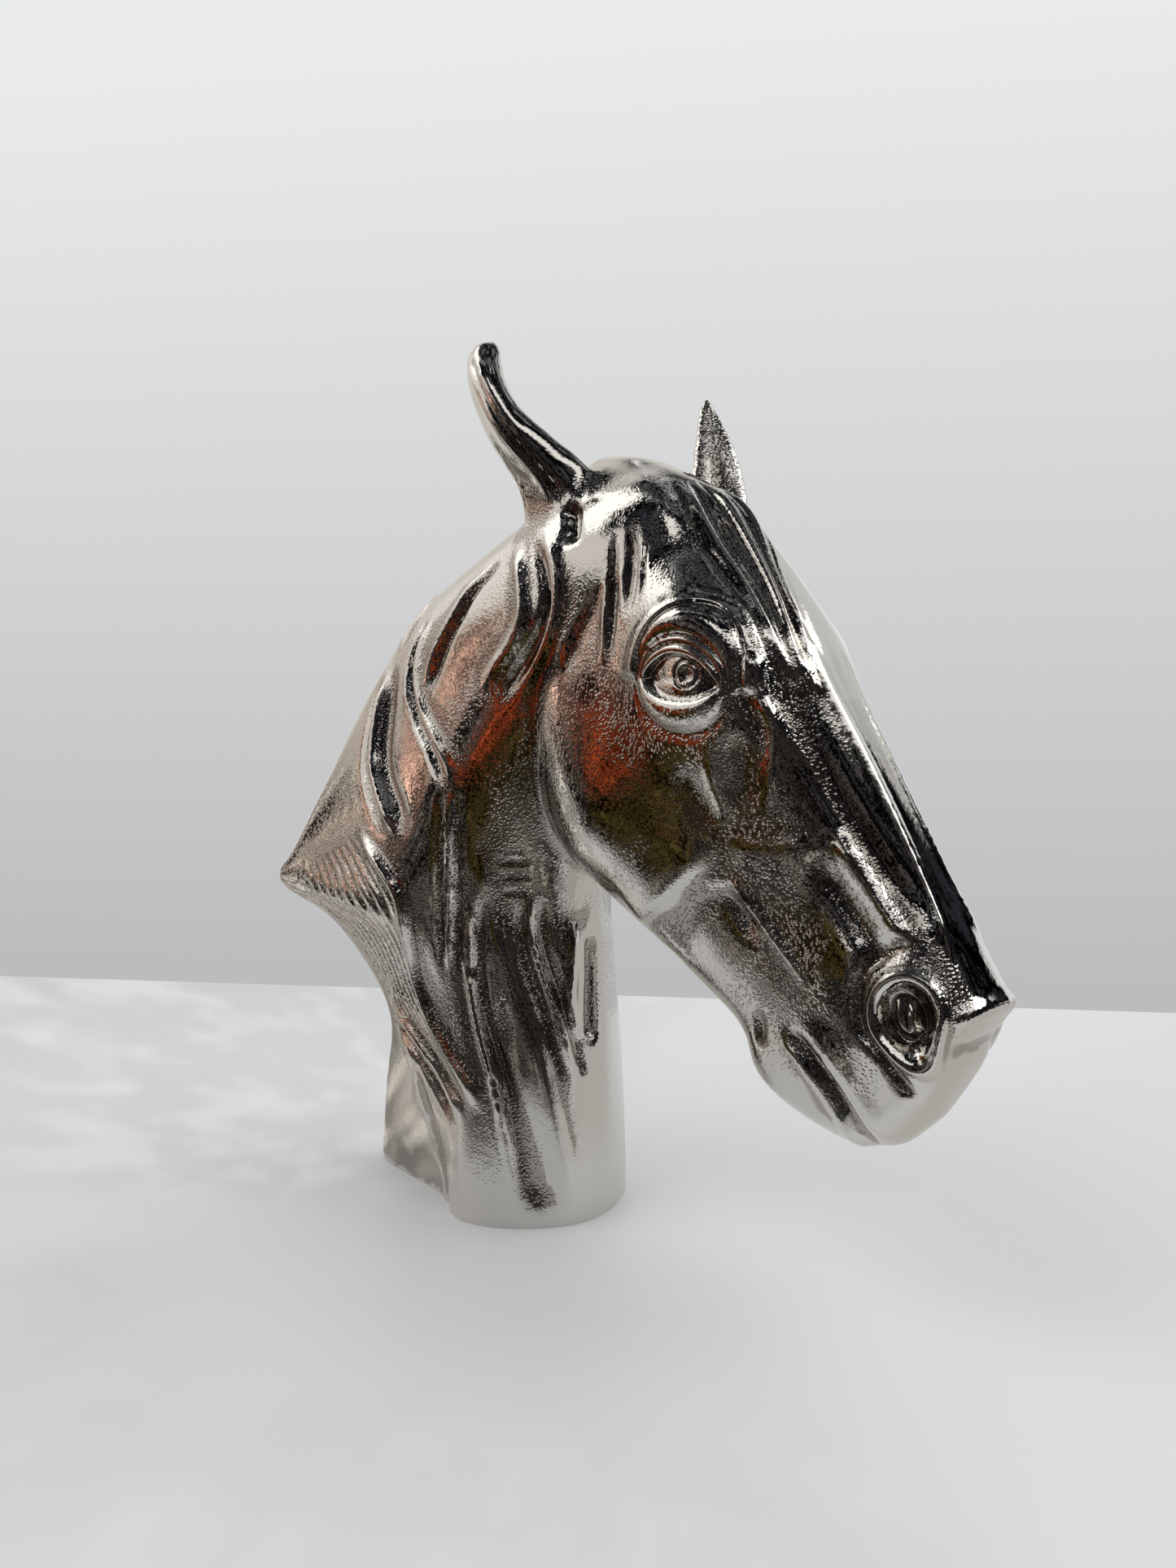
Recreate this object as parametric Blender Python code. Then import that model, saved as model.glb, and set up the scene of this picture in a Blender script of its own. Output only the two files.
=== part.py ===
"""Polished metal horse head on its own stand: one hollow casting, modelled as one solid.

The head looks down and to one side, the neck turns with it and ends in a flat-cut stand.
Everything is drawn as shares of the head's length, except the stand, which has its own sizes.

The part's frame: origin in the middle of the stand's underside, +X the way the neck faces,
+Y to the far side of the head, +Z up, in metres.
The head's frame, in head lengths: a runs down the face from the crown, b out of the forehead
and c to the near side.
"""
import math
import bpy
import bmesh
import numpy as np
from mathutils import Vector
from mathutils.bvhtree import BVHTree

# Driving dimensions, metres and degrees
HEAD_LENGTH = 0.2218
STAND_LENGTH = 0.116
STAND_WIDTH = 0.0915
STAND_HEIGHT = 0.058
HEAD_TURN = 24.0
HEAD_DROP = 60.6
HEAD_ROLL = 1.65

# The figure is drawn at a scale where the head is 222 long
DRAWN = HEAD_LENGTH / 222
CROWN = (108, -39, 287)

# Eye and nostril on the sides of the head (a, b), the slope of each, the eye from corner to corner
# and the iris across half, all in head lengths
EYE_PLACE = (0.350, -0.1565)
EYE_SLOPE = 53.0
EYE_SHARE = 0.137
IRIS_SHARE = 0.021
NOSTRIL_PLACE = (0.900, -0.084)
NOSTRIL_SLOPE = -14.0

# Band of fine strands in the mane, in drawn units
STRANDS = 7
STRAND_CUT = 1.2
STRAND_SPAN = 2.4

# Fineness of the surface while it is carved, and of the finished solid
CARVING_STEP = 2.6 * DRAWN
SOLID_TRIANGLES = 9300

# Colour and finish of the bright nickel skin
NICKEL = (0.70, 0.68, 0.64)
NICKEL_ROUGHNESS = 0.18


# Sections of the head from the back of the skull to the lips. Each holds the profile point on the
# face line (a, b), the one on the jaw line (a, b), then half widths at HEAD_DEPTHS between the two
HEAD_DEPTHS = (0.03, 0.20, 0.50, 0.80, 0.97)
HEAD_SECTIONS = (
    # inside the neck
    (-0.130, -0.210, -0.060, -0.360, 0.030, 0.050, 0.060, 0.050, 0.030),
    (-0.080, -0.145, -0.030, -0.430, 0.045, 0.085, 0.110, 0.100, 0.050),
    # crown, between the ears
    (0.000, -0.084, 0.040, -0.480, 0.050, 0.115, 0.140, 0.135, 0.070),
    (0.080, -0.038, 0.100, -0.505, 0.048, 0.128, 0.150, 0.148, 0.085),
    # forehead
    (0.170, -0.014, 0.180, -0.528, 0.046, 0.142, 0.155, 0.153, 0.095),
    (0.260, 0.000, 0.265, -0.548, 0.055, 0.165, 0.157, 0.150, 0.100),
    # eyes and round cheeks
    (0.350, 0.005, 0.360, -0.560, 0.072, 0.176, 0.152, 0.148, 0.100),
    (0.440, 0.000, 0.450, -0.556, 0.062, 0.142, 0.140, 0.142, 0.095),
    # straight nose and narrow jaw
    (0.540, 0.000, 0.545, -0.515, 0.055, 0.110, 0.115, 0.115, 0.075),
    (0.640, 0.000, 0.640, -0.474, 0.051, 0.090, 0.093, 0.086, 0.052),
    (0.740, 0.000, 0.730, -0.432, 0.050, 0.080, 0.084, 0.072, 0.042),
    # nostrils and chin
    (0.830, 0.000, 0.820, -0.393, 0.056, 0.092, 0.090, 0.070, 0.042),
    (0.900, 0.000, 0.890, -0.396, 0.062, 0.100, 0.092, 0.074, 0.047),
    (0.934, -0.002, 0.957, -0.360, 0.058, 0.098, 0.088, 0.066, 0.042),
    # lips
    (0.953, -0.032, 1.010, -0.312, 0.048, 0.083, 0.078, 0.058, 0.036),
    (0.992, -0.080, 1.040, -0.270, 0.038, 0.060, 0.060, 0.045, 0.028),
    (1.035, -0.150, 1.053, -0.220, 0.015, 0.020, 0.022, 0.020, 0.012),
)

# Sections of the neck upward from the stand, in drawn units. Each holds its front point and its
# back point (forward, up), how far the front leans to the near side and the back to the far side,
# then half widths at NECK_DEPTHS
NECK_DEPTHS = (0.05, 0.25, 0.45, 0.60, 0.80, 0.95)
NECK_SECTIONS = (
    # throat above the stand
    (52, 88, -60, 82, 3, 7, 21, 34, 38, 34, 22, 8),
    # the mane runs out to a point over the stand
    (51.5, 104, -80, 106, 3, 4, 21, 34, 38, 33, 18, 6),
    (51, 115, -106, 122, 3, 2, 21, 34, 38, 33, 16, 4),
    (51, 125, -97, 135, 3, 1, 22, 35, 39, 33, 17, 5),
    # arched crest
    (53, 142, -78, 166, 4, 0, 22, 36, 40, 34, 20, 7),
    (60, 165, -57, 201, 8, 0, 24, 37, 40, 34, 22, 9),
    (70, 185, -31, 232, 14, -5, 26, 37, 38, 34, 24, 10),
    (85, 205, 6, 256, 22, -15, 26, 36, 37, 34, 25, 12),
    # inside the head
    (100, 225, 45, 273, 30, -27, 24, 32, 34, 32, 26, 14),
    (112, 240, 80, 281, 36, -36, 18, 24, 26, 25, 20, 10),
)

# The stand as shares of its height and of its half length and half width: height, front, back, lean
# of the front and of the back, half widths at NECK_DEPTHS. It is drawn on below the cut at height zero
STAND_SECTIONS = (
    (-0.35, 0.97, -1.03, 0.09, 0.31, 0.52, 0.94, 1.00, 0.62, 0.37, 0.17),
    (0.00, 0.97, -1.03, 0.09, 0.31, 0.52, 0.94, 1.00, 0.62, 0.37, 0.17),
    (0.60, 0.95, -0.96, 0.09, 0.26, 0.52, 0.88, 0.95, 0.72, 0.48, 0.20),
    (1.10, 0.93, -0.90, 0.09, 0.22, 0.48, 0.80, 0.88, 0.79, 0.57, 0.22),
)

# Ears, from root to tip in the head's frame: near edge, far edge and back of the cup
NEAR_EAR = (
    ((0.040, -0.235, 0.110), (-0.010, -0.330, 0.110), (0.020, -0.190, 0.060)),
    ((-0.010, -0.240, 0.135), (-0.055, -0.332, 0.132), (-0.045, -0.200, 0.080)),
    ((-0.071, -0.236, 0.163), (-0.108, -0.311, 0.141), (-0.093, -0.201, 0.103)),
    ((-0.111, -0.241, 0.185), (-0.147, -0.306, 0.157), (-0.133, -0.211, 0.128)),
    ((-0.150, -0.244, 0.207), (-0.189, -0.304, 0.174), (-0.172, -0.218, 0.152)),
    ((-0.193, -0.244, 0.221), (-0.233, -0.298, 0.184), (-0.205, -0.225, 0.167)),
    ((-0.235, -0.239, 0.229), (-0.275, -0.290, 0.192), (-0.239, -0.224, 0.175)),
    ((-0.271, -0.234, 0.230), (-0.315, -0.280, 0.190), (-0.275, -0.219, 0.176)),
    ((-0.301, -0.230, 0.223), (-0.338, -0.267, 0.189), (-0.305, -0.210, 0.168)),
    ((-0.326, -0.220, 0.206), (-0.343, -0.240, 0.191), (-0.327, -0.207, 0.175)),
)
FAR_EAR = (
    ((0.030, -0.210, -0.060), (0.080, -0.170, -0.115), (0.030, -0.240, -0.110)),
    ((0.000, -0.195, -0.095), (0.050, -0.145, -0.150), (-0.010, -0.205, -0.150)),
    ((-0.041, -0.178, -0.120), (0.013, -0.121, -0.185), (-0.045, -0.170, -0.185)),
    ((-0.086, -0.160, -0.138), (-0.042, -0.109, -0.195), (-0.082, -0.151, -0.201)),
    ((-0.135, -0.140, -0.152), (-0.104, -0.097, -0.195), (-0.138, -0.133, -0.203)),
    ((-0.176, -0.121, -0.164), (-0.152, -0.093, -0.195), (-0.180, -0.118, -0.203)),
    ((-0.202, -0.106, -0.172), (-0.189, -0.092, -0.190), (-0.208, -0.110, -0.199)),
    ((-0.212, -0.096, -0.176), (-0.207, -0.089, -0.186), (-0.222, -0.103, -0.200)),
)
# Outlines of the ears' sections: across from edge to edge, and outward to the back. The far ear
# opens to the front in a slit between two round rims
NEAR_OUTLINE = (
    (0.52, 0.00), (0.52, 0.42), (0.32, 0.90), (0.00, 1.02), (-0.34, 0.88),
    (-0.56, 0.44), (-0.56, 0.00), (-0.30, -0.02), (0.00, 0.00), (0.30, -0.02),
)
FAR_OUTLINE = (
    (0.52, 0.00), (0.52, 0.42), (0.32, 0.90), (0.00, 1.02), (-0.34, 0.88), (-0.56, 0.44),
    (-0.56, 0.00), (-0.34, -0.12), (-0.14, -0.04), (0.00, 0.30), (0.14, -0.04), (0.34, -0.12),
)


def head_axes():
    """Directions a, b and c of the head's frame, as rows, in the part's frame."""
    turn, drop, roll = (math.radians(angle) for angle in (HEAD_TURN, HEAD_DROP, HEAD_ROLL))
    down = np.array((math.cos(turn) * math.cos(drop), -math.sin(turn) * math.cos(drop), -math.sin(drop)))
    level = np.array((-math.sin(turn), -math.cos(turn), 0.0))
    side = level * math.cos(roll) + np.cross(level, down) * math.sin(roll)
    return np.stack((down, np.cross(side, down), side))


AXES = head_axes()


def head_to_part(abc):
    return np.array(CROWN) * DRAWN + HEAD_LENGTH * np.asarray(abc, float) @ AXES


def part_to_head(xyz):
    return (np.asarray(xyz, float) - np.array(CROWN) * DRAWN) @ AXES.T / HEAD_LENGTH


def smoothstep(low, high, x):
    share = np.clip((x - low) / (high - low), 0.0, 1.0)
    return share * share * (3 - 2 * share)


def bump(x, width):
    """A bell of height one around zero."""
    return np.exp(-((x / width) ** 2))


def smooth_curve(keys, values, at):
    """Smooth curve through the values, one row for each key, read at the given places."""
    keys = np.asarray(keys, float)
    values = np.asarray(values, float)
    slopes = np.gradient(values, keys, axis=0)
    index = np.clip(np.searchsorted(keys, at, side="right") - 1, 0, len(keys) - 2)
    span = (keys[index + 1] - keys[index])[:, None]
    t = (at - keys[index])[:, None] / span
    ease = t * t * (3 - 2 * t)
    leave = t * (1 - t) ** 2 * span * slopes[index]
    arrive = t * t * (t - 1) * span * slopes[index + 1]
    return (1 - ease) * values[index] + ease * values[index + 1] + leave + arrive


def running_length(points):
    steps = np.linalg.norm(np.diff(points, axis=0), axis=-1)
    return np.concatenate(((0.0,), np.cumsum(steps)))


def along_stations(middles, values, rows):
    """Values of the stations, read at even steps along the line of their middles."""
    keys = running_length(middles)
    return smooth_curve(keys, values, np.linspace(0.0, keys[-1], rows))


def closed_outline(points, columns):
    """Smooth closed curve through 2-D points, read at even steps of its length."""
    points = np.asarray(points, float)
    ring = np.vstack((points[-3:], points, points[:4]))
    steps = np.sqrt(np.linalg.norm(np.diff(ring, axis=0), axis=1)) + 1e-6
    keys = np.concatenate(((0.0,), np.cumsum(steps)))
    dense = smooth_curve(keys, ring, np.linspace(keys[3], keys[3 + len(points)], 8 * columns + 1))
    length = running_length(dense)
    wanted = np.linspace(0.0, length[-1], columns, endpoint=False)
    return np.stack([np.interp(wanted, length, dense[:, k]) for k in (0, 1)], axis=1)


def loft_rings(stations, depths, rows, columns):
    """Rings through sections that each hold a front point, a back point and half widths."""
    stations = np.asarray(stations, float)
    middles = (stations[:, 0:3] + stations[:, 3:6]) / 2
    rings = []
    for row in along_stations(middles, stations, rows):
        front, back, widths = row[0:3], row[3:6], np.maximum(row[6:], 1e-4)
        depth = np.linalg.norm(back - front)
        near = np.stack((np.array(depths) * depth, widths), axis=1)
        far = near[::-1] * (1.0, -1.0)
        outline = closed_outline(np.vstack(((0.0, 0.0), near, (depth, 0.0), far)), columns)
        ring = front + outline[:, :1] / depth * (back - front)
        ring[:, 2] += outline[:, 1]
        rings.append(ring)
    return np.array(rings)


def closed_shell(name, rings):
    """Object whose surface joins the rings and closes over the first and the last."""
    mesh = bpy.data.meshes.new(name)
    bm = bmesh.new()
    loops = [[bm.verts.new(point) for point in ring] for ring in rings]
    columns = len(loops[0])
    for lower, upper in zip(loops, loops[1:]):
        for c in range(columns):
            d = (c + 1) % columns
            bm.faces.new((lower[c], lower[d], upper[d], upper[c]))
    for loop in (loops[0], loops[-1]):
        pole = bm.verts.new(sum((vert.co for vert in loop), Vector()) / columns)
        for c in range(columns):
            bm.faces.new((loop[c], loop[(c + 1) % columns], pole))
    bmesh.ops.recalc_face_normals(bm, faces=bm.faces)
    bm.to_mesh(mesh)
    bm.free()
    ob = bpy.data.objects.new(name, mesh)
    bpy.context.collection.objects.link(ob)
    return ob


def head_volume():
    stations = [(a0, b0, 0, a1, b1, 0, *widths) for a0, b0, a1, b1, *widths in HEAD_SECTIONS]
    return closed_shell("head", head_to_part(loft_rings(stations, HEAD_DEPTHS, 70, 56)))


def neck_volume():
    """The neck and the stand below it, lofted in forward, up and far-side coordinates."""
    half_length, half_width = STAND_LENGTH / 2, STAND_WIDTH / 2
    stations = []
    for up, front, back, front_lean, back_lean, *widths in STAND_SECTIONS:
        height = up * STAND_HEIGHT
        front_point = (front * half_length, height, -front_lean * half_width)
        back_point = (back * half_length, height, back_lean * half_width)
        stations.append((*front_point, *back_point, *(share * half_width for share in widths)))
    for x0, z0, x1, z1, front_lean, back_lean, *widths in NECK_SECTIONS:
        drawn = (x0, z0, -front_lean, x1, z1, back_lean, *widths)
        stations.append(tuple(value * DRAWN for value in drawn))
    rings = loft_rings(stations, NECK_DEPTHS, 80, 56)
    return closed_shell("neck", rings[..., (0, 2, 1)])


def ear_volume(name, sections, outline):
    sections = np.asarray(sections, float)
    outline = closed_outline(outline, 40)
    rows = along_stations(sections.mean(axis=1), sections.reshape(-1, 9), 30)
    rings = []
    for near, far, back in rows.reshape(-1, 3, 3):
        middle = (near + far) / 2
        rings.append(middle + outline[:, :1] * (near - far) + outline[:, 1:] * (back - middle))
    return closed_shell(name, head_to_part(np.array(rings)))


def join_objects(obs, name):
    bm = bmesh.new()
    for ob in obs:
        bm.from_mesh(ob.data)
        bpy.data.objects.remove(ob)
    mesh = bpy.data.meshes.new(name)
    bm.to_mesh(mesh)
    bm.free()
    ob = bpy.data.objects.new(name, mesh)
    bpy.context.collection.objects.link(ob)
    return ob


def take_modifiers(ob):
    """Make the modified shape of the object its own mesh."""
    depsgraph = bpy.context.evaluated_depsgraph_get()
    mesh = bpy.data.meshes.new_from_object(ob.evaluated_get(depsgraph))
    ob.modifiers.clear()
    ob.data = mesh


def fuse(ob, step):
    """One closed skin over the volumes, softened where they meet."""
    skin = ob.modifiers.new("skin", "REMESH")
    skin.mode = "VOXEL"
    skin.voxel_size = step
    soften = ob.modifiers.new("soften", "SMOOTH")
    soften.factor = 0.5
    soften.iterations = 8
    take_modifiers(ob)


def surface_tree(ob):
    mesh = ob.data
    places = [vert.co[:] for vert in mesh.vertices]
    return BVHTree.FromPolygons(places, [face.vertices[:] for face in mesh.polygons])


class Clay:
    """The skin as arrays: places, normals and how far each point lies from the head and the neck."""

    def __init__(self, ob, head_tree, neck_tree):
        self.ob = ob
        self.trees = head_tree, neck_tree
        self.read()

    def read(self):
        mesh = self.ob.data
        count = len(mesh.vertices)
        self.co = np.empty(3 * count)
        self.no = np.empty(3 * count)
        mesh.vertices.foreach_get("co", self.co)
        mesh.vertices.foreach_get("normal", self.no)
        self.co = self.co.reshape(-1, 3)
        self.no = self.no.reshape(-1, 3)
        self.lift = np.zeros(count)
        edges = np.empty(2 * len(mesh.edges), dtype=np.int32)
        mesh.edges.foreach_get("vertices", edges)
        edges = edges.reshape(-1, 2)
        self.ends = np.concatenate((edges, edges[:, ::-1]))
        self.links = np.bincount(self.ends[:, 0], minlength=count)
        self.to_head, self.to_neck = (
            np.array([tree.find_nearest(place)[3] for place in self.co]) for tree in self.trees
        )
        self.head = smoothstep(-3 * DRAWN, 3 * DRAWN, self.to_neck - self.to_head)
        self.abc = part_to_head(self.co)

    def neighbours(self, values):
        return np.bincount(self.ends[:, 0], values[self.ends[:, 1]], len(self.links)) / self.links

    def write(self):
        mesh = self.ob.data
        mesh.vertices.foreach_set("co", self.co.ravel())
        mesh.update()
        self.read()

    def press(self, rounds):
        """Move the skin along its normals by the lift gathered so far, evened out first."""
        for _ in range(rounds):
            self.lift = (self.lift + self.neighbours(self.lift)) / 2
        self.co += self.no * self.lift[:, None]
        self.write()

    def relax(self, weight, rounds):
        """Even out the skin where the weight is high."""
        for _ in range(rounds):
            mean = np.stack([self.neighbours(self.co[:, k]) for k in range(3)], axis=1)
            self.co += weight[:, None] * 0.6 * (mean - self.co)
        self.write()

    def refine(self, inside, rounds):
        """Give the skin a finer mesh where inside(clay) holds."""
        for _ in range(rounds):
            chosen = inside(self)
            bm = bmesh.new()
            bm.from_mesh(self.ob.data)
            bm.verts.ensure_lookup_table()
            edges = [edge for edge in bm.edges if all(chosen[vert.index] for vert in edge.verts)]
            bmesh.ops.subdivide_edges(bm, edges=edges, cuts=1, use_grid_fill=True)
            bm.to_mesh(self.ob.data)
            bm.free()
            self.read()
            self.relax(inside(self) * 0.8, 2)

    def stroke(self, points, height, left, right, ends, share):
        """Raise a ridge, or press a groove where height is negative, along a smooth curve.

        left and right are its half widths, and ends the shares of its length over which it fades.
        """
        samples = 24
        keys = running_length(points)
        path = smooth_curve(keys, points, np.linspace(0.0, keys[-1], samples))
        reach = 3 * max(left, right) + 12 * DRAWN
        near = np.all((self.co > path.min(axis=0) - reach) & (self.co < path.max(axis=0) + reach), axis=1)
        chosen = np.nonzero(near)[0]
        places, normals = self.co[chosen], self.no[chosen]
        best = np.full(len(chosen), np.inf)
        side = np.zeros(len(chosen))
        progress = np.full(len(chosen), -1.0)
        for i in range(samples - 1):
            step = path[i + 1] - path[i]
            share_of_step = np.clip((places - path[i]) @ step / (step @ step), 0.0, 1.0)
            gap = places - path[i] - share_of_step[:, None] * step
            depth = np.einsum("ij,ij->i", gap, normals)
            flat = gap - depth[:, None] * normals
            distance = np.linalg.norm(flat, axis=1)
            total = distance + 0.3 * np.abs(depth)
            closer = total < best
            across = np.cross(np.broadcast_to(step, normals.shape), normals)
            signed = distance * np.sign(np.einsum("ij,ij->i", flat, across))
            place = np.where(np.abs(depth) > 20 * DRAWN, -1.0, (i + share_of_step) / (samples - 1))
            best = np.where(closer, total, best)
            side = np.where(closer, signed, side)
            progress = np.where(closer, place, progress)
        shape = bump(side, np.where(side > 0, right, left))
        fade = smoothstep(0.0, ends[0], progress) * smoothstep(0.0, ends[1], 1.0 - progress)
        self.lift[chosen] += height * shape * np.where(progress < 0, 0.0, fade) * share[chosen]


def shifted(points, step):
    return np.asarray(points, float) + step


def carve_head(clay, points, height, left, right=None, ends=(0.2, 0.2), both=True):
    """Stroke on the head, in head lengths, on one side or mirrored to both."""
    right = left if right is None else right
    for mirror in (1, -1) if both else (1,):
        widths = (left, right)[::mirror]
        curve = head_to_part(np.array(points) * (1, 1, mirror))
        clay.stroke(curve, height * HEAD_LENGTH, *(w * HEAD_LENGTH for w in widths), ends, clay.head)


def neck_middle(up):
    """How far the middle of the neck lies to the far side, at a height."""
    return np.interp(up, (0, 100, 165, 200, 235, 255, 275), (4, 0, -3, -4, -8, -17, -30))


def carve_neck(clay, points, height, left, right=None, ends=(0.2, 0.2), share=None):
    """Stroke on both sides of the neck, in drawn units."""
    right = left if right is None else right
    share = 1 - clay.head if share is None else share
    for mirror in (1, -1):
        widths = (left, right)[::mirror]
        curve = np.array(points, float)
        if mirror < 0:
            curve[:, 1] = 2 * neck_middle(curve[:, 2]) - curve[:, 1]
        clay.stroke(curve * DRAWN, height * DRAWN, *(w * DRAWN for w in widths), ends, share)


def cheek_crease(clay):
    """Crease where the round cheek stands over the neck."""
    band = bump(np.maximum(clay.to_head, clay.to_neck), 3 * DRAWN)
    clay.lift -= 2 * DRAWN * band * smoothstep(-0.33, -0.42, clay.abc[:, 1])


def nose(clay):
    """Flat bridge between two crisp edges, its end over the lips, and the muscle to the nostril."""
    edge = (
        (0.30, -0.004, 0.052), (0.44, -0.004, 0.043), (0.60, -0.004, 0.036), (0.752, -0.004, 0.040),
        (0.86, -0.006, 0.052),
    )
    carve_head(clay, edge, 0.006, 0.010, ends=(0.3, 0.1))
    carve_head(clay, [(a, b, 0.0) for a, b, c in edge], -0.003, 0.02, both=False)
    bridge_end = (
        (0.918, -0.050, 0.098), (0.926, -0.025, 0.069), (0.927, -0.008, 0.040), (0.928, -0.003, 0.0),
    )
    carve_head(clay, bridge_end, 0.006, 0.009, ends=(0.3, 0.01))
    lip_hollow = ((0.960, -0.070, 0.070), (0.966, -0.052, 0.045), (0.970, -0.045, 0.0))
    carve_head(clay, lip_hollow, -0.006, 0.016, ends=(0.3, 0.01))
    beside = (
        (0.36, -0.020, 0.095), (0.45, -0.040, 0.085), (0.60, -0.045, 0.075), (0.70, -0.036, 0.068),
        (0.81, -0.020, 0.062),
    )
    carve_head(clay, beside, -0.010, 0.020, ends=(0.3, 0.2))
    muscle = (
        (0.623, -0.075, 0.083), (0.660, -0.070, 0.079), (0.718, -0.060, 0.080), (0.776, -0.050, 0.081),
        (0.835, -0.045, 0.080),
    )
    carve_head(clay, muscle, 0.014, 0.012, 0.014, ends=(0.25, 0.2))
    carve_head(clay, shifted(muscle, (0.01, -0.044, 0.004)), -0.014, 0.016, ends=(0.3, 0.3))


def cheek(clay):
    """Folds below the eye, the front edge of the cheek muscle and the sinew to the mouth."""
    inner_ridge = (
        (0.360, -0.043, 0.131), (0.416, -0.063, 0.129), (0.450, -0.066, 0.122), (0.490, -0.068, 0.112),
    )
    carve_head(clay, inner_ridge, 0.009, 0.009, ends=(0.2, 0.3))
    carve_head(clay, shifted(inner_ridge, (0.0, -0.022, 0.008)), -0.007, 0.008, ends=(0.2, 0.3))
    corner_fold = (
        (0.415, -0.070, 0.130), (0.48, -0.078, 0.112), (0.53, -0.115, 0.112), (0.575, -0.16, 0.108),
    )
    carve_head(clay, corner_fold, 0.009, 0.016, 0.009, ends=(0.15, 0.5))
    under_fold = ((0.44, -0.12, 0.14), (0.50, -0.14, 0.125), (0.55, -0.18, 0.112))
    carve_head(clay, under_fold, -0.008, 0.022, ends=(0.3, 0.3))
    second_fold = ((0.43, -0.165, 0.148), (0.50, -0.195, 0.13), (0.56, -0.215, 0.115))
    carve_head(clay, second_fold, 0.005, 0.012, ends=(0.4, 0.3))
    cheek_hollow = ((0.44, -0.24, 0.14), (0.50, -0.235, 0.13), (0.55, -0.235, 0.115))
    carve_head(clay, cheek_hollow, -0.006, 0.025, ends=(0.3, 0.3))
    front_edge = ((0.60, -0.475, 0.075), (0.592, -0.37, 0.10), (0.575, -0.29, 0.11), (0.572, -0.235, 0.11))
    carve_head(clay, front_edge, 0.013, 0.060, 0.014, ends=(0.15, 0.3))
    carve_head(clay, ((0.645, -0.43, 0.07), (0.64, -0.35, 0.09), (0.63, -0.28, 0.10)), -0.007, 0.025, 0.05)
    upper_crease = ((0.575, -0.240, 0.108), (0.60, -0.19, 0.10), (0.625, -0.13, 0.09), (0.655, -0.08, 0.085))
    carve_head(clay, upper_crease, 0.006, 0.012, 0.050, ends=(0.25, 0.3))
    sinew = (
        (0.615, -0.255, 0.098), (0.665, -0.245, 0.089), (0.71, -0.236, 0.085), (0.785, -0.216, 0.086),
        (0.83, -0.206, 0.09),
    )
    carve_head(clay, sinew, 0.012, 0.0055, ends=(0.1, 0.4))
    sinew_hollow = ((0.615, -0.285, 0.098), (0.661, -0.275, 0.090), (0.730, -0.258, 0.084))
    carve_head(clay, sinew_hollow, -0.015, 0.013, ends=(0.3, 0.4))


def mouth(clay):
    """Slit between the lips, their full edges and the fold of the chin."""
    slit = (
        (0.845, -0.284, 0.080), (0.884, -0.260, 0.085), (0.93, -0.249, 0.081), (0.976, -0.246, 0.069),
        (1.01, -0.248, 0.050), (1.045, -0.246, 0.0),
    )
    carve_head(clay, slit, -0.014, 0.007, 0.012, ends=(0.12, 0.25))
    carve_head(clay, shifted(slit, (-0.003, 0.028, 0.0)), 0.006, 0.018, ends=(0.3, 0.3))
    carve_head(clay, shifted(slit, (-0.004, -0.022, -0.004)), 0.008, 0.010, ends=(0.2, 0.3))
    chin_fold = ((0.800, -0.325, 0.066), (0.835, -0.335, 0.066), (0.85, -0.35, 0.06))
    carve_head(clay, chin_fold, -0.008, 0.010, ends=(0.3, 0.3))


def forelock(clay):
    """Long locks from between the ears that meet in a point over the nose, on the near side only."""
    near_lock = (
        (0.022, -0.081, 0.044), (0.099, -0.056, 0.074), (0.175, -0.046, 0.083), (0.248, -0.028, 0.089),
        (0.308, -0.017, 0.097), (0.374, -0.021, 0.098), (0.436, -0.036, 0.078),
    )
    far_lock = (
        (0.020, -0.068, 0.010), (0.094, -0.032, 0.027), (0.188, -0.017, 0.041), (0.274, -0.010, 0.057),
        (0.346, -0.008, 0.075), (0.407, -0.020, 0.077), (0.436, -0.036, 0.078),
    )
    last_lock = (
        (0.020, -0.075, -0.030), (0.107, -0.026, -0.011), (0.201, -0.006, 0.026), (0.292, 0.004, 0.047),
        (0.362, 0.005, 0.056), (0.400, -0.006, 0.066),
    )
    carve_head(clay, near_lock, 0.010, 0.007, 0.014, ends=(0.2, 0.1), both=False)
    beside = shifted(near_lock, (-0.006, -0.020, 0.010))
    carve_head(clay, beside, -0.005, 0.008, ends=(0.2, 0.3), both=False)
    carve_head(clay, far_lock, 0.010, 0.008, 0.010, ends=(0.2, 0.1), both=False)
    carve_head(clay, last_lock, 0.008, 0.008, ends=(0.2, 0.2), both=False)
    between = (np.array(near_lock[1:6]) + np.array(far_lock[1:6])) / 2
    carve_head(clay, between, -0.005, 0.010, ends=(0.2, 0.3), both=False)
    lock_end = ((0.385, -0.006, 0.064), (0.415, -0.012, 0.066), (0.445, -0.018, 0.060))
    carve_head(clay, lock_end, 0.006, 0.008, ends=(0.4, 0.2), both=False)


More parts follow.
